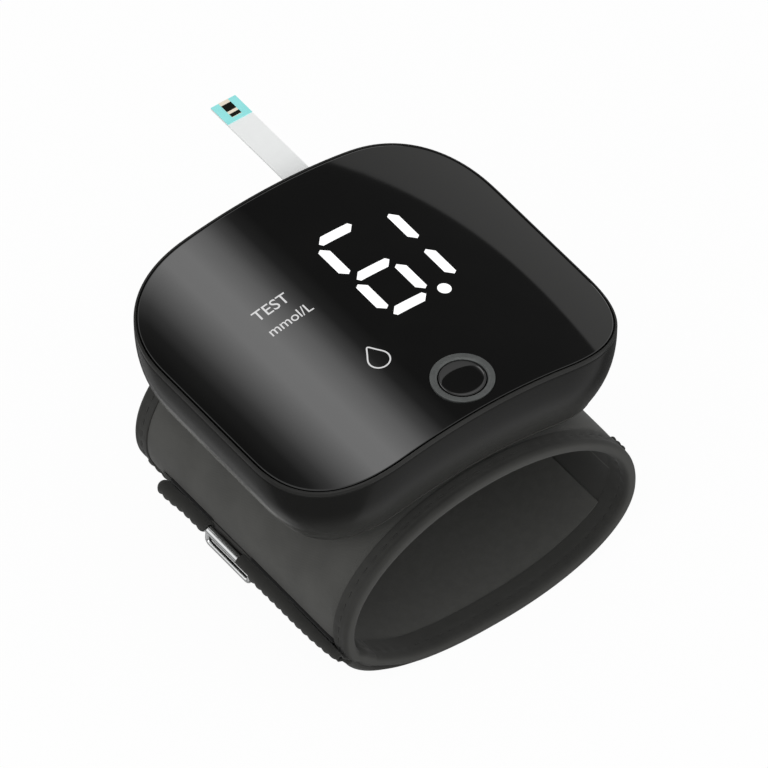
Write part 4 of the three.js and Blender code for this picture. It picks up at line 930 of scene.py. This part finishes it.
def prism(name, ring_low, ring_high):
    """A closed tool between two outlines of equal length, each closed by its middle."""
    low, high = np.asarray(ring_low, float), np.asarray(ring_high, float)
    caps = [np.repeat(ring.mean(0)[None], len(ring), 0) for ring in (low, high)]
    points, faces, _ = ring_part([caps[0], low, high, caps[1]])
    mesh = mesh_of(name, points.reshape(-1, 3), faces)
    close_up(mesh, 1e-6)
    return linked(name, mesh)


SLOT_REACH, SLOT_OVERRUN = 7.5, 1.5
SCREW_X, SCREW_Y, SCREW_BORE, BORE_LOW, BORE_HIGH = 26.0, 22.0, 2.2, -26.0, -17.6


def slot_tool(name, x, z, width, height):
    """A round-ended slot through the rear wall."""
    h, r = width / 2, height * 0.3
    flat = rounded([(-h, -height / 2), (h, -height / 2), (h, height / 2), (-h, height / 2)],
                   [r] * 4, 6)
    rear = METER_DEEP / 2
    ring = np.column_stack([flat[:, 0] + x, 0 * flat[:, 0], flat[:, 1] + z]) + CREST
    return prism(name, ring + [0, rear - SLOT_REACH, 0], ring + [0, rear + SLOT_OVERRUN, 0])


def bore_tool(name, x, y, radius, low, high):
    """An upright round hole."""
    angle = circle(32)
    ring = np.column_stack([x + radius * np.cos(angle), y + radius * np.sin(angle), 0 * angle])
    ring += CREST
    return prism(name, ring + [0, 0, low], ring + [0, 0, high])


cut(BOWL, [
    slot_tool("strip_slot", 10.8, -6.0, 9.6, 3.4),
    slot_tool("charge_slot", -14.0, -11.0, 9.6, 3.8),
    *[bore_tool(f"screw_bore_{i}", sx * SCREW_X, sy * SCREW_Y, SCREW_BORE, BORE_LOW, BORE_HIGH)
      for i, (sx, sy) in enumerate([(1, 1), (-1, 1), (-1, -1), (1, -1)])],
])
print("bowl faces:", len(BOWL.data.polygons))


# %% [markdown]
# ## The button
# A satin ring stands a hair proud of the glass, and a gloss black cap lies inside it,
# dished for the fingertip. Both are turned shapes: a profile carried round an axis.


# %% Ring and cap
def turned(name, profile, body, slot, material, replaces, sharp=35):
    """Profile of (radius, height) carried round the button's axis."""
    profile = np.asarray(profile, float)
    radius, angle = profile[:, :1], circle(96)
    rings = np.stack([BUTTON[0] + radius * np.cos(angle), BUTTON[1] + radius * np.sin(angle),
                      profile[:, 1:] + 0 * angle], -1)
    piece(name, [ring_part(rings + CREST)], body, material, sharp=sharp,
          replaces=replaces)


ring_profile = rounded(
    [(RING_BORE, -2.14), (7.0, -2.14), (7.0, -1.54), (RING_RADIUS, -1.54), (RING_RADIUS, 0.28),
     (5.35, 0.28), (RING_BORE, 0.02)],
    [0.05, 0.05, 0.05, 0.05, 0.14, 0.12, 0.1], 5,
)
turned("button_trim", np.concatenate([ring_profile, ring_profile[:1]]), "meter",
       "satin_metal", SATIN, ["button_ring"])

# The cap's face is dished by DISH, along a quarter of a sine.
DISH, DISH_RADIUS, CAP_TOP = 0.24, 4.4, 0.04
quarter = np.linspace(0, 1, 12) * math.pi / 2
cap_profile = [(0, -3.35), (1.5, -3.35), (1.5, -3.14), (5.9, -3.14), (5.9, -2.44), (4.7, -2.44),
               (4.7, -0.14), (4.64, -0.02), (4.5, 0.04)]
cap_profile += [(DISH_RADIUS * math.cos(a), CAP_TOP - DISH * math.sin(a) ** 1.2)
                for a in quarter]
turned("button_face", cap_profile, "button", "button_plastic", ACRYLIC, ["button_cap"], 30)


# %% [markdown]
# ## The lit print
# Digits are bars with slanted ends, as a seven-bar display has them. They are thin
# plates that stand a hair proud of the glass, so they also show in a bare mesh. The
# small legend is plain words, and the mark under it is a drop.


# %% Digits
PRINT_RISE, PRINT_DEPTH = 0.035, 0.05


def plate(outline_points, step=0.8):
    """A thin closed plate from an outline: its points are lifted on the arch."""
    flat = denser(np.asarray(outline_points, float), step)
    middle = flat.mean(0)
    shares = np.array([0.0, 0.5, 1.0])[:, None, None]
    top = middle + (flat - middle) * shares
    rings = np.concatenate([top, flat[None], middle + (flat - middle) * shares[::-1]])
    lift = np.array([PRINT_RISE] * 3 + [PRINT_RISE - PRINT_DEPTH] * 4)[:, None, None]
    height = arch(rings[..., :1]) + lift
    solid = np.concatenate([rings, height], -1)
    return ring_part(solid + CREST)


def bar(x, y, upright):
    """One bar: a long hexagon whose ends are cut on a slant."""
    long, wide, tip, nose = 4.25, 1.12, 1.35, 0.35
    half = np.array([(long, nose), (long - tip * 0.4, wide), (tip - long, wide)])
    shape = np.concatenate([half, -half])
    if upright:
        shape = np.stack([-shape[:, 1], shape[:, 0]], -1)
    return plate(shape + [x, y])


def disc(x, y, radius):
    """The point between the digits."""
    angle = circle(32)
    return plate(np.stack([x + radius * np.cos(angle), y + radius * np.sin(angle)], -1))


BARS = [
    (3.85, 18.2, False), (-0.8, 12.3, True), (4.15, 6.3, False), (-0.4, 0.5, True),
    (9.1, 0.6, True), (4.4, -5.3, False), (16.5, 12.95, True), (16.6, 1.05, True),
]
piece("lit_digits", [*(bar(*place) for place in BARS), disc(12.6, -5.65, 1.42)], "meter",
      DIGIT_LIGHT, merge=0.001)


# %% Mark
def lit_line(path, width):
    """A thin band along a closed path: an outer and an inner outline, and two depths."""
    side = normals(path) * width / 2
    low = PRINT_RISE - PRINT_DEPTH
    rings = [np.column_stack([flat, arch(flat[:, 0]) + lift]) for flat, lift in (
        (path + side, PRINT_RISE), (path - side, PRINT_RISE), (path - side, low),
        (path + side, low))]
    return ring_part(np.asarray(rings) + CREST, True)


def drop_path(x, y, radius):
    """A drop: a circle whose top is drawn up to a point."""
    angle = circle(48)
    pull = np.maximum(np.sin(angle), 0) ** 6
    return np.stack([x + radius * np.cos(angle) * (1 - 0.35 * pull),
                     y + radius * (np.sin(angle) + 0.75 * pull)], -1)


piece("lit_mark", [lit_line(drop_path(-9.1, -13.3, 2.2), 0.3)], "meter",
      LEGEND_LIGHT, merge=0.001)


# %% Legend
def legend(name, words, size, x, y):
    """A line of type made a mesh, laid on the arch with its foot at x and y."""
    curve = bpy.data.curves.new(name, "FONT")
    curve.body, curve.size, curve.extrude = words, size * MM, PRINT_DEPTH / 2 * MM
    curve.resolution_u = 4
    holder = linked(name, curve)
    bpy.context.view_layer.update()
    mesh = bpy.data.meshes.new_from_object(
        holder.evaluated_get(bpy.context.evaluated_depsgraph_get()))
    bpy.data.objects.remove(holder)
    count = len(mesh.vertices)
    points = np.empty(count * 3, np.float32)
    mesh.vertices.foreach_get("co", points)
    points = points.reshape(-1, 3) / MM
    points[:, 0] += x
    points[:, 1] += y
    points[:, 2] += arch(points[:, 0]) + PRINT_RISE - PRINT_DEPTH / 2
    mesh.vertices.foreach_set("co", ((points + CREST) * MM).astype(np.float32).ravel())
    mesh.materials.clear()
    mesh.materials.append(LEGEND_LIGHT)
    mesh.name = name
    print(f"{name}: {len(mesh.polygons)} faces, rides meter, for looks")
    obj = linked(name, mesh)
    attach(obj, "meter")


legend("legend_name", "TEST", 3.75, -21.2, 9.9)
legend("legend_unit", "mmol/L", 3.3, -21.2, 5.1)


# %% [markdown]
# ## The cuff
# Looked at along the arm, the cuff is a tall half ellipse over its widest line, the
# waist, and a lower, fuller curve under it. A point of it is given by a turn round the
# arm and an offset along its own normal. The columns of each grid are spaced evenly
# along the girth, so that stitches and weave keep one size all round.


# %% Points of the cuff
def cuff_point(turn, offset):
    """Outer surface of the cuff at a turn in radians, moved out by an offset. Over the
    waist and under it the section is a superellipse with a height and power of its own."""
    half_x = CUFF_WIDTH / 2
    cos, sin = np.cos(turn), np.sin(turn)
    half_z = np.where(sin >= 0, CROWN_HEIGHT, WAIST_HEIGHT)
    power = np.where(sin >= 0, CROWN_POWER, UNDER_POWER)
    x = np.sign(cos) * np.abs(cos) ** (2 / power)
    z = np.sign(sin) * np.abs(sin) ** (2 / power)
    nx = np.sign(x) * np.abs(x) ** (power - 1) / half_x
    nz = np.sign(z) * np.abs(z) ** (power - 1) / half_z
    length = np.hypot(nx, nz)
    middle = WAIST_HEIGHT - REST_CUT
    return x * half_x + nx / length * offset, z * half_z + nz / length * offset + middle


FINE_TURNS = np.linspace(0, TAU, 8001)
FINE_GIRTH = walked(np.stack(cuff_point(FINE_TURNS, 0.0), -1))
GIRTH = float(FINE_GIRTH[-1])
print("girth of the cuff:", round(GIRTH, 1), "mm")


def place_of(degrees):
    """Millimetres along the girth at a turn in degrees."""
    return np.interp(np.radians(degrees), FINE_TURNS, FINE_GIRTH)


def even_turns(count, extra=()):
    """Turns whose points lie evenly along the girth, with extra places among them."""
    places = np.sort(np.concatenate([np.arange(count) / count * GIRTH, extra]))
    return np.interp(places, FINE_GIRTH, FINE_TURNS), places


def cuff_band(section, turns, places, lump):
    """A closed section of (inset, y) carried round the cuff. lump(inset, y, girth) is
    added to the outward offset. The lowest points are pressed flat where it rests. The
    second UV coordinate is zero on the fold, the point of the section nearest its end."""
    section = np.asarray(section, float)
    inset, y = section[:, :1], section[:, 1:]
    x, z = cuff_point(turns + 0 * inset, lump(inset, y, places) - inset)
    points = np.stack([x, y + 0 * x, np.maximum(z, 0.0)], -1)
    walk = walked(section)
    walk = walk - walk[np.argmax(np.abs(section[:, 1]) - 0.01 * np.abs(section[:, 0] - 1.25))]
    uv = np.stack([places + 0 * inset, walk[:, None] + 0 * x], -1)
    return points, grid_faces(*points.shape[:2], True, True), uv


def hill(value, middle, half):
    """A smooth hill of height 1 round a middle, down to 0.37 at its half width."""
    return np.exp(-(((value - middle) / half) ** 2))


def step(value, low, high):
    """0 below low and 1 above high, smooth between."""
    share = np.clip((value - low) / (high - low), 0, 1)
    return share * share * (3 - 2 * share)


# %% [markdown]
# ### Outer cloth and lining
# The cloth is bonded to foam, so it is full between the tapes and drawn in where they
# are sewn on. A slow wave of a tenth of a millimetre keeps it from looking turned. The
# lining is one strip whose end laps over its start, and the lap shows as a straight
# edge along the arm.


# %% Outer cloth and lining
UNDER_TAPE, DRAWN_REACH = 0.35, 1.3


def soft_wave(girth, y, seed, height):
    """A sum of a few slow waves with fixed phases, whole numbers of them round."""
    rng = np.random.default_rng(seed)
    total = 0.0
    for turns_round in (3, 5, 8, 13):
        phase, slope = rng.uniform(0, TAU), rng.uniform(-0.12, 0.12)
        total = total + np.sin(girth * TAU * turns_round / GIRTH + phase + y * slope) / turns_round
    return total * height


def drawn_in(y, end):
    """1 at the seam of the tape, falling away from it as an exponential."""
    return np.exp(-((end - np.abs(y)) / DRAWN_REACH))


def cuff_cloth():
    """The outer skin: full, drawn in along both seams, with the slow wave on it."""
    end = CUFF_END - TAPE_OUTSIDE + UNDER_TAPE

    def lump(inset, y, girth):
        drawn = drawn_in(y, end) * 0.24
        outer = np.clip(1 - inset / 1.0, 0, 1)
        return outer * (-0.03 - drawn + soft_wave(girth, y, 4, 0.06))

    section = rounded([(0, -end), (1.7, -end), (1.7, end), (0, end)], [0.4] * 4, 4)
    skin = cuff_band(denser(section, 1.5), *even_turns(360), lump)
    obj = piece("cuff_cloth", [skin], "meter", CLOTH, sharp=60,
                replaces=["cuff_shell"])


LAP = place_of(334.0)
# Its second colour is painted shade on the right of the inside, from the lap round to 70 degrees.
LINING = brushed_cloth("cuff_lining", (0.058, 0.058, 0.054),
                       (LAP, place_of(70.0), (0.03, 0.03, 0.028)))


def cuff_inside():
    """The lining: its inner face is lifted along the lap, which fades over 7 mm."""
    end = CUFF_END - TAPE_INSIDE + UNDER_TAPE

    def lump(inset, y, girth):
        drawn = drawn_in(y, end) * 0.16
        inner = np.clip((inset - 1.9) / 0.5, 0, 1)
        lap = 0.4 * np.exp(-np.maximum(LAP - girth, 0) / 7.0) * (girth < LAP)
        return inner * (drawn - lap + soft_wave(girth, y, 9, 0.05))

    section = rounded([(1.75, -end), (2.5, -end), (2.5, end), (1.75, end)], [0.25] * 4, 4)
    skin = cuff_band(denser(section, 2.0), *even_turns(300, [LAP - 0.1, LAP + 0.1]), lump)
    piece("cuff_inside", [skin], "meter", LINING, sharp=60,
          replaces=["cuff_lining"])


cuff_cloth()
cuff_inside()

# %% [markdown]
# ### Bound rims
# A tape is folded over each rim and sewn through all layers. The thread pulls the tape
# down along the seam and lets it rise between two stitches. The fold is a full round
# edge, set off from the flat of the tape by a crease. At the lower left of the front
# rim the tape makes room for the end of the strap.

# %% Tapes
STITCH_PITCH, SEAM_INSET, CREASE_INSET = 3.0, 2.7, 1.7
STITCH_COUNT = int(round(GIRTH / STITCH_PITCH))


def zone(girth, rise, fall):
    """1 between two stretches of the girth, given by turns in degrees: it rises from 0
    over the first and falls back over the second."""
    up, down = (step(girth, *(place_of(turn) for turn in turns)) for turns in (rise, fall))
    return up - down


def strap_room(girth, side):
    """How far the front rim is pressed in under the end of the strap, in millimetres."""
    return zone(girth, (197, 204), (222, 244)) * (0.85 if side < 0 else 0.0)


def tape_lap(girth, side):
    """Thickness that the end of the front tape adds where it laps over its start."""
    return zone(girth, (201, 206), (213.6, 214.3)) * (0.32 if side < 0 else 0.0)


def rim_tape(name, side, node):
    """A folded section round one rim. The seam pulls it in between hill-shaped puckers,
    the crease sets off the fold, and all of it fades out at the fold itself."""
    turns, places = even_turns(STITCH_COUNT * 7)
    pitch = GIRTH / STITCH_COUNT

    def lump(inset, y, girth):
        far = CUFF_END - np.abs(y)
        face = np.where(inset < CUFF_WALL / 2, 1.0, -1.0)
        pull = hill(far, SEAM_INSET, 0.4) * (0.1 + 0.07 * np.cos(girth * TAU / pitch))
        crease = 0.13 * hill(far, CREASE_INSET, 0.25) * (face > 0)
        ruck = 0.035 * np.sin(girth * TAU / pitch) * hill(far, SEAM_INSET, 1.4)
        fullness = 0.07 - pull - crease + ruck
        room = strap_room(girth, side) * np.clip(1 - inset / CUFF_WALL * 0.35, 0, 1)
        lap = tape_lap(girth, side) * (1 - inset * 2 / CUFF_WALL)
        return face * fullness * step(far, 0.1, 1.1) - room + lap

    outer, fold, inner = CUFF_END - TAPE_OUTSIDE, CUFF_END - 1.2, CUFF_END - TAPE_INSIDE
    section = denser(rounded(
        [(0, outer), (0.6, outer), (0.6, fold), (1.9, fold), (1.9, inner), (CUFF_WALL, inner),
         (CUFF_WALL, CUFF_END), (0, CUFF_END)],
        [0.25, 0.2, 0.2, 0.2, 0.2, 0.25, 1.24, 1.24], 8,
    ), 0.4)
    section[:, 1] *= side
    piece(name, [cuff_band(section, turns, places, lump)], "meter", TAPE,
          sharp=60, replaces=[node])


rim_tape("front_tape", -1, "front_binding")
rim_tape("rear_tape", 1, "rear_binding")


# %% Stitches
def stitch_row(y, offset, turns):
    """Stitches as small spindles: rings of six points whose radius is even along the
    stitch and closes bluntly, as the root of 1 minus the fourth power of the place from
    its middle. They lie along the girth at one place on the arm."""
    mid_x, mid_z = cuff_point(turns, offset)
    ahead_x, ahead_z = cuff_point(turns + 0.002, offset)
    tangent = np.stack([ahead_x - mid_x, 0 * mid_x, ahead_z - mid_z], -1)
    tangent /= np.linalg.norm(tangent, axis=1, keepdims=True)
    normal = np.stack([-tangent[:, 2], 0 * mid_x, tangent[:, 0]], -1)
    side = np.array([0.0, 1.0, 0.0])
    length, radius, rings, around = 1.9, 0.12, 7, 6
    s = np.linspace(-1, 1, rings)
    fat = np.sqrt(np.clip(1 - s**4, 0.0, 1)) * radius
    angle = circle(around)
    centre = np.stack([mid_x, np.full_like(mid_x, y), np.maximum(mid_z, radius + 0.01)], -1)
    points = (centre[:, None, None]
              + tangent[:, None, None] * (s * length / 2)[None, :, None, None]
              + normal[:, None, None] * (fat[:, None] * np.cos(angle))[None, ..., None]
              + side * (fat[:, None] * np.sin(angle))[None, ..., None] * 1.2)
    first = np.arange(len(turns))[:, None, None] * rings * around
    return points, (grid_faces(rings, around, False, True) + first).reshape(-1, 4), None


def all_stitches():
    """One row on each face of both tapes."""
    rows = []
    turns, places = even_turns(STITCH_COUNT)
    for side in (-1, 1):
        y = side * (CUFF_END - SEAM_INSET)
        rows.append(stitch_row(y, -0.06 - strap_room(places, side), turns))
        rows.append(stitch_row(y, -CUFF_WALL + 0.06, turns))
    piece("rim_stitches", rows, "meter", THREAD, merge=0.0005, sharp=80)


all_stitches()


# %% [markdown]
# ## The closing strap
# At the lower left a tape is folded round the bar of a bright ring and sewn back on
# itself. It is cut away in a window, where the bar and a thinner wire beside it show.
# The free edge of the tape is overlocked, so it is scalloped.

# %% Where the bar lies
BAR_RADIUS, WIRE_RADIUS = 0.9, 0.55
LOOP_TURN, LOOP_OFFSET = math.radians(189.5), 1.85
LOOP = np.array([float(v) for v in cuff_point(LOOP_TURN, LOOP_OFFSET)])
OUT = (LOOP - [float(v) for v in cuff_point(LOOP_TURN, 0.0)]) / LOOP_OFFSET
DOWN = np.array([-OUT[1], OUT[0]])
ARM_TURN = math.atan2(DOWN[1], DOWN[0]) - math.radians(18)
RING_Y, RING_LENGTH, RING_SPACING = 1.5, 15.0, 3.2
BAR_ENDS = (-10.0, 13.0)
WINDOW = (RING_Y - RING_LENGTH / 2 - 0.3, RING_Y + RING_LENGTH / 2 + 0.3)
LOOP_FRONT, LOOP_REAR = -CUFF_END + 6.5, CUFF_END - 11.2
print("bar at", LOOP.round(3), "window", WINDOW)


# %% Bright ring
def wire_ring():
    """A closed rounded rectangle of wire, whose section is carried along the path on
    the path's own axes, and a thicker straight bar along its inner long side."""
    along = np.array([math.cos(ARM_TURN), 0, math.sin(ARM_TURN)])
    across = np.array([-math.sin(ARM_TURN), 0, math.cos(ARM_TURN)])
    start = np.array([LOOP[0], RING_Y, LOOP[1]])
    half_y, half_d = RING_LENGTH / 2 - WIRE_RADIUS, RING_SPACING / 2
    path = rounded([(-half_y, -half_d), (half_y, -half_d), (half_y, half_d), (-half_y, half_d)],
                   [1.1] * 4, 10)
    path = denser(path, 0.5)
    angle = circle(24)
    flat = path[:, None] + normals(path)[:, None] * (np.cos(angle) * WIRE_RADIUS)[None, :, None]
    points = (start + along * (flat[..., 1:] + half_d) + np.array([0, 1.0, 0]) * flat[..., :1]
              + across * (np.sin(angle) * WIRE_RADIUS)[None, :, None])
    low, high, bevel = *BAR_ENDS, 0.25
    stations = np.array([low, low, low + bevel, high - bevel, high, high])
    fat = np.array([0.0, BAR_RADIUS - bevel, BAR_RADIUS, BAR_RADIUS, BAR_RADIUS - bevel, 0.0])
    bar_points = np.stack([
        LOOP[0] + fat[:, None] * np.cos(angle),
        stations[:, None] + 0 * angle,
        LOOP[1] + fat[:, None] * np.sin(angle),
    ], -1)
    piece("wire_ring", [ring_part(points, True), ring_part(bar_points)], "ring",
          CHROME, sharp=40, replaces=["strap_ring"])


wire_ring()


# %% Folded tape
TAPE_HALF, FOLD_RADIUS = 0.2, 1.26
print("tape", 2 * TAPE_HALF, "mm thick, its middle", FOLD_RADIUS, "mm from the bar's axis")


def fold_line(first, last):
    """Arc round the bar between two directions in degrees, where 0 is down the cuff and
    90 is straight out of it."""
    angle = np.radians(np.linspace(first, last, 60))[:, None]
    return LOOP + FOLD_RADIUS * (np.cos(angle) * DOWN + np.sin(angle) * OUT)


def smoothed(path, spacing=0.22, passes=6):
    """The path with even spacing, each point then moved to a mean of its neighbours."""
    length = walked(path)
    even = np.linspace(0, length[-1], int(length[-1] / spacing) + 1)
    path = np.stack([np.interp(even, length, path[:, i]) for i in (0, 1)], -1)
    for _ in range(passes):
        path[1:-1] = (path[:-2] + 2 * path[1:-1] + path[2:]) / 4
    return path


def band_section(path, half):
    """A closed outline round a middle line, with both ends drawn to a round edge."""
    tangent = np.gradient(path, axis=0)
    tangent /= np.linalg.norm(tangent, axis=1, keepdims=True)
    normal = np.stack([tangent[:, 1], -tangent[:, 0]], -1)
    ends = np.minimum(np.arange(len(path)), np.arange(len(path))[::-1])
    fat = half * np.sqrt(np.clip(1 - (1 - np.clip((ends + 0.4) / 2.4, 0, 1)) ** 2, 0, 1))
    side = normal * fat[:, None]
    return np.concatenate([path + side, (path - side)[::-1]])


def across_ring(count):
    """Quads that close a flat ring of points, from one side of it to the other."""
    i = np.arange(count // 2 - 1)
    return np.stack([i, i + 1, count - 2 - i, count - 1 - i], -1)


def sweep(section, stations, bend):
    """Carries a band section along the arm. bend(points, y) moves its points at each
    station, and the two ends are closed by quads from one side to the other."""
    flat = bend(section[None] + 0 * stations[:, None, None], stations[:, None])
    points = np.stack([flat[..., 0], stations[:, None] + 0 * flat[..., 0], flat[..., 1]], -1)
    rows, cols = points.shape[:2]
    caps = [across_ring(cols) + row * cols for row in (0, rows - 1)]
    uv = np.stack([points[..., 1], walked(section)[None] + 0 * points[..., 0]], -1)
    return points, np.concatenate([grid_faces(rows, cols, False, True), *caps]), uv


# %% How the loops change along the arm
# Half width of the tube round the bar and its drift to the lower left, at places along
# the arm in millimetres. It is widest over the bar and flat under the front tape.
LEFT = np.array([-0.8755, -0.483])
TOOTH_PITCH, TOOTH_START, TUBE_FULL = 2.15, 24.0, 1.5
NEAR_RADIUS, NEAR_FADE, REAR_END = 3.6, 1.6, 1.5
TUBE_Y = (-34.6, -33.3, -31.0, -26.5, -22.5, -14.5, -8.1, 15.6, 19.9, 24.0)
TUBE_HALF = (0.78, 0.91, 1.1, 1.28, 1.34, 1.5, 1.5, 1.5, 1.58, 1.55)
TUBE_MIDDLE = (-0.38, -0.3, -0.21, -0.09, -0.04, -0.2, -0.13, -0.13, 0.2, 0.25)


def loop_bend(front_taper, rear_round, teeth=0.42):
    """Moves the points of a loop: scallops on its outer side, the tube's half width and
    its drift along the arm, less height of the tails where the strap runs in under the
    front tape, and a round end at the rear."""

    def bend(points, y):
        away = points - LOOP
        far = np.linalg.norm(away, axis=-1, keepdims=True)
        angle = np.degrees(np.arctan2((away * OUT).sum(-1), (away * DOWN).sum(-1)))[..., None]
        near = np.clip((NEAR_RADIUS - far) / NEAR_FADE, 0, 1)
        y = y[..., None]
        tooth = np.abs(np.sin((y - TOOTH_START) * math.pi / TOOTH_PITCH)) ** 0.8
        outer = (far > FOLD_RADIUS) * hill(angle, 62.0, 32.0)
        scale = 1 + outer * (tooth - 0.53) * teeth / far
        scale = scale * np.interp(y, TUBE_Y, TUBE_HALF) / TUBE_FULL
        shift = np.interp(y, TUBE_Y, TUBE_MIDDLE)
        sink = np.clip((-26.0 - y) / 8.6, 0, 1) ** 1.5 if front_taper else 0.0
        if rear_round:
            end = np.clip((y - LOOP_REAR + REAR_END) / REAR_END, 0, 0.995)
            scale = scale * ((1 - end**2.4) ** (1 / 2.4) * near + 1 - near)
        return LOOP + away * scale + LEFT * shift * near - OUT * 1.45 * sink * (1 - near)

    return bend


def tape_loops():
    """Both loops: the whole fold over their length, the front half of it as a hood over
    the window's ends, and between them a lip where the tape is cut away."""
    tail_in = np.stack(cuff_point(np.radians(np.linspace(207.5, 193.5, 12)), 0.62), -1)
    tail_out = np.stack(cuff_point(np.radians(np.linspace(195.0, 207.5, 12)), 1.32), -1)
    whole = band_section(smoothed(np.concatenate([tail_in, fold_line(-62, -318), tail_out])),
                         TAPE_HALF)
    hood = band_section(smoothed(fold_line(-58, -252)), TAPE_HALF)
    lip = band_section(smoothed(np.concatenate([fold_line(46, 42), tail_out])), TAPE_HALF)
    front_bend, rear_bend = loop_bend(True, False), loop_bend(False, True)
    front = [sweep(whole, np.linspace(-CUFF_END + 0.6, WINDOW[0], 150), front_bend),
             sweep(lip, np.linspace(RING_Y - 5.9, RING_Y + 5.9, 30), loop_bend(False, False, 0.0)),
             sweep(hood, np.linspace(WINDOW[0] - 0.4, WINDOW[0] + 4.2, 24), front_bend)]
    last = LOOP_REAR - REAR_END * np.cos(np.linspace(0.1, 1.0, 9) * math.pi / 2)
    stations = np.concatenate([np.linspace(WINDOW[1], LOOP_REAR - REAR_END, 60), last])
    rear = [sweep(whole, stations, rear_bend),
            sweep(hood, np.linspace(WINDOW[1] - 0.9, WINDOW[1] + 0.4, 8), rear_bend)]
    for end, parts in (("front", front), ("rear", rear)):
        piece(f"{end}_loop", parts, "meter", STRAP, sharp=60,
              replaces=[f"strap_loop_{end}"])


tape_loops()


# %% Flap, hook cloth and the backing of the window
LAYER_EDGE, LAYER_WALK = 0.5, 52.0


def cuff_layer(name, turns, y_range, low, high, material, replaces, rows=60, cols=110):
    """A thin body that follows the cuff. turns(t) gives its first and last turn, and
    low(t, s), high(t, s) its two offsets, at t from 0 at the rear to 1 at the front and
    s from 0 at its first turn to 1 at its last. Its four edges are rounded by drawing
    both faces to their middle along a quarter circle."""
    t = np.linspace(0, 1, cols)[None, :]
    s = np.linspace(0, 1, rows)[:, None]
    first, last = turns(t)
    grid_t = np.radians(first + (last - first) * s)
    y = y_range[1] + (y_range[0] - y_range[1]) * t + 0 * s
    edge_s = np.minimum(s, 1 - s) * GIRTH * (last - first) / 360
    edge_t = np.minimum(t, 1 - t) * (y_range[1] - y_range[0])
    edge = np.minimum(edge_s, edge_t)
    fat = np.sqrt(1 - (1 - np.clip(edge / LAYER_EDGE, 0.0, 1)) ** 2)
    middle = (low(t, s) + high(t, s)) / 2
    half = (high(t, s) - low(t, s)) / 2 * np.maximum(fat, 0.04)
    sides = []
    for offset in (middle + half, middle - half):
        x, z = cuff_point(grid_t, offset)
        sides.append(np.stack([x, y, np.maximum(z, 0.02)], -1))
    rings = np.concatenate([sides[0], sides[1][::-1]])
    walk = np.linspace(0, LAYER_WALK, 2 * rows)[:, None] + 0 * rings[..., 0]
    uv = np.stack([rings[..., 1], walk], -1)
    caps = [across_ring(2 * rows) * cols + column for column in (0, cols - 1)]
    faces = np.concatenate([grid_faces(2 * rows, cols, True, False), *caps])
    piece(name, [(rings, faces, uv)], "meter", material, sharp=60, replaces=replaces)


def tuck(t):
    """1 where the strap runs in under the front tape, 0 over the rest of its length."""
    return step(t, 0.86, 0.995)


cuff_layer("strap_end", lambda t: (209 - 13 * tuck(t), 236 + 11 * tuck(t)),
           (-CUFF_END + 0.1, LOOP_REAR), lambda t, s: 1.1 - 2.0 * tuck(t),
           lambda t, s: 2.1 - (1.1 + 1.5 * s) * tuck(t), STRAP, ["strap_flap"])
cuff_layer("hook_cloth", lambda t: (209 + 0 * t, 233 + 0 * t), (LOOP_FRONT + 3, LOOP_REAR - 3),
           lambda t, s: 0.3 + 0 * t, lambda t, s: 0.8 + 0 * t, LINING,
           ["hook_patch"])
cuff_layer("window_backing", lambda t: (187.2 + 0 * t, 200 + 0 * t),
           (WINDOW[0] - 0.4, LOOP_REAR + 1.5), lambda t, s: 0.06 + 0 * t,
           lambda t, s: 0.42 + 0 * t, TAPE, [], 24, 60)


# %% [markdown]
# ### Edges and cords
# Where two layers meet, a line of thread or the shadow of a gap shows. Both are thin
# tubes along the arm: scalloped ones for the overlocked edges, and even black ones
# beside the loops, which are painted shadow of the gap. They lie at one turn of the
# cuff, so they need no path.


# %% Overlocked edges and gap cords
def edge_tube(name, turn, y_range, pitch, radius, material):
    """A tube whose radius swells once in each pitch, as |sine|, and shrinks to nothing
    at both ends. Without a pitch it is an even cord."""
    rings = 60
    y = np.linspace(*y_range, rings)[:, None]
    swell = np.abs(np.sin((y - y_range[0]) * math.pi / pitch)) ** 0.8 if pitch else 1.0
    ends = np.sqrt(np.clip(np.minimum(y - y_range[0], y_range[1] - y) / 0.4, 0, 1))
    fat = radius * (0.45 + 0.55 * swell) * ends
    angle = circle(10)
    x, z = cuff_point(np.radians(turn), 0.05)
    points = np.stack([x + fat * np.cos(angle), y + 0 * angle, z + fat * np.sin(angle)], -1)
    piece(name, [ring_part(points)], "meter", material, sharp=80)


EDGES = {
    "left_edge": (198.6, (23.4, 32.6), 2.3, 0.42, TAPE),
    "right_edge": (21.4, (-34.0, -29.5), 1.5, 0.4, TAPE),
    # The two black cords are painted shadow of the gap beside the loops.
    "front_gap_shadow": (187.7, (-31.0, WINDOW[0] + 3.0), None, 0.42, PAINTED_GAP_SHADOW),
    "rear_gap_shadow": (187.7, (WINDOW[1] - 0.5, LOOP_REAR - 1.0), None, 0.42, PAINTED_GAP_SHADOW),
}
for edge_name, edge_sizes in EDGES.items():
    edge_tube(edge_name, *edge_sizes)
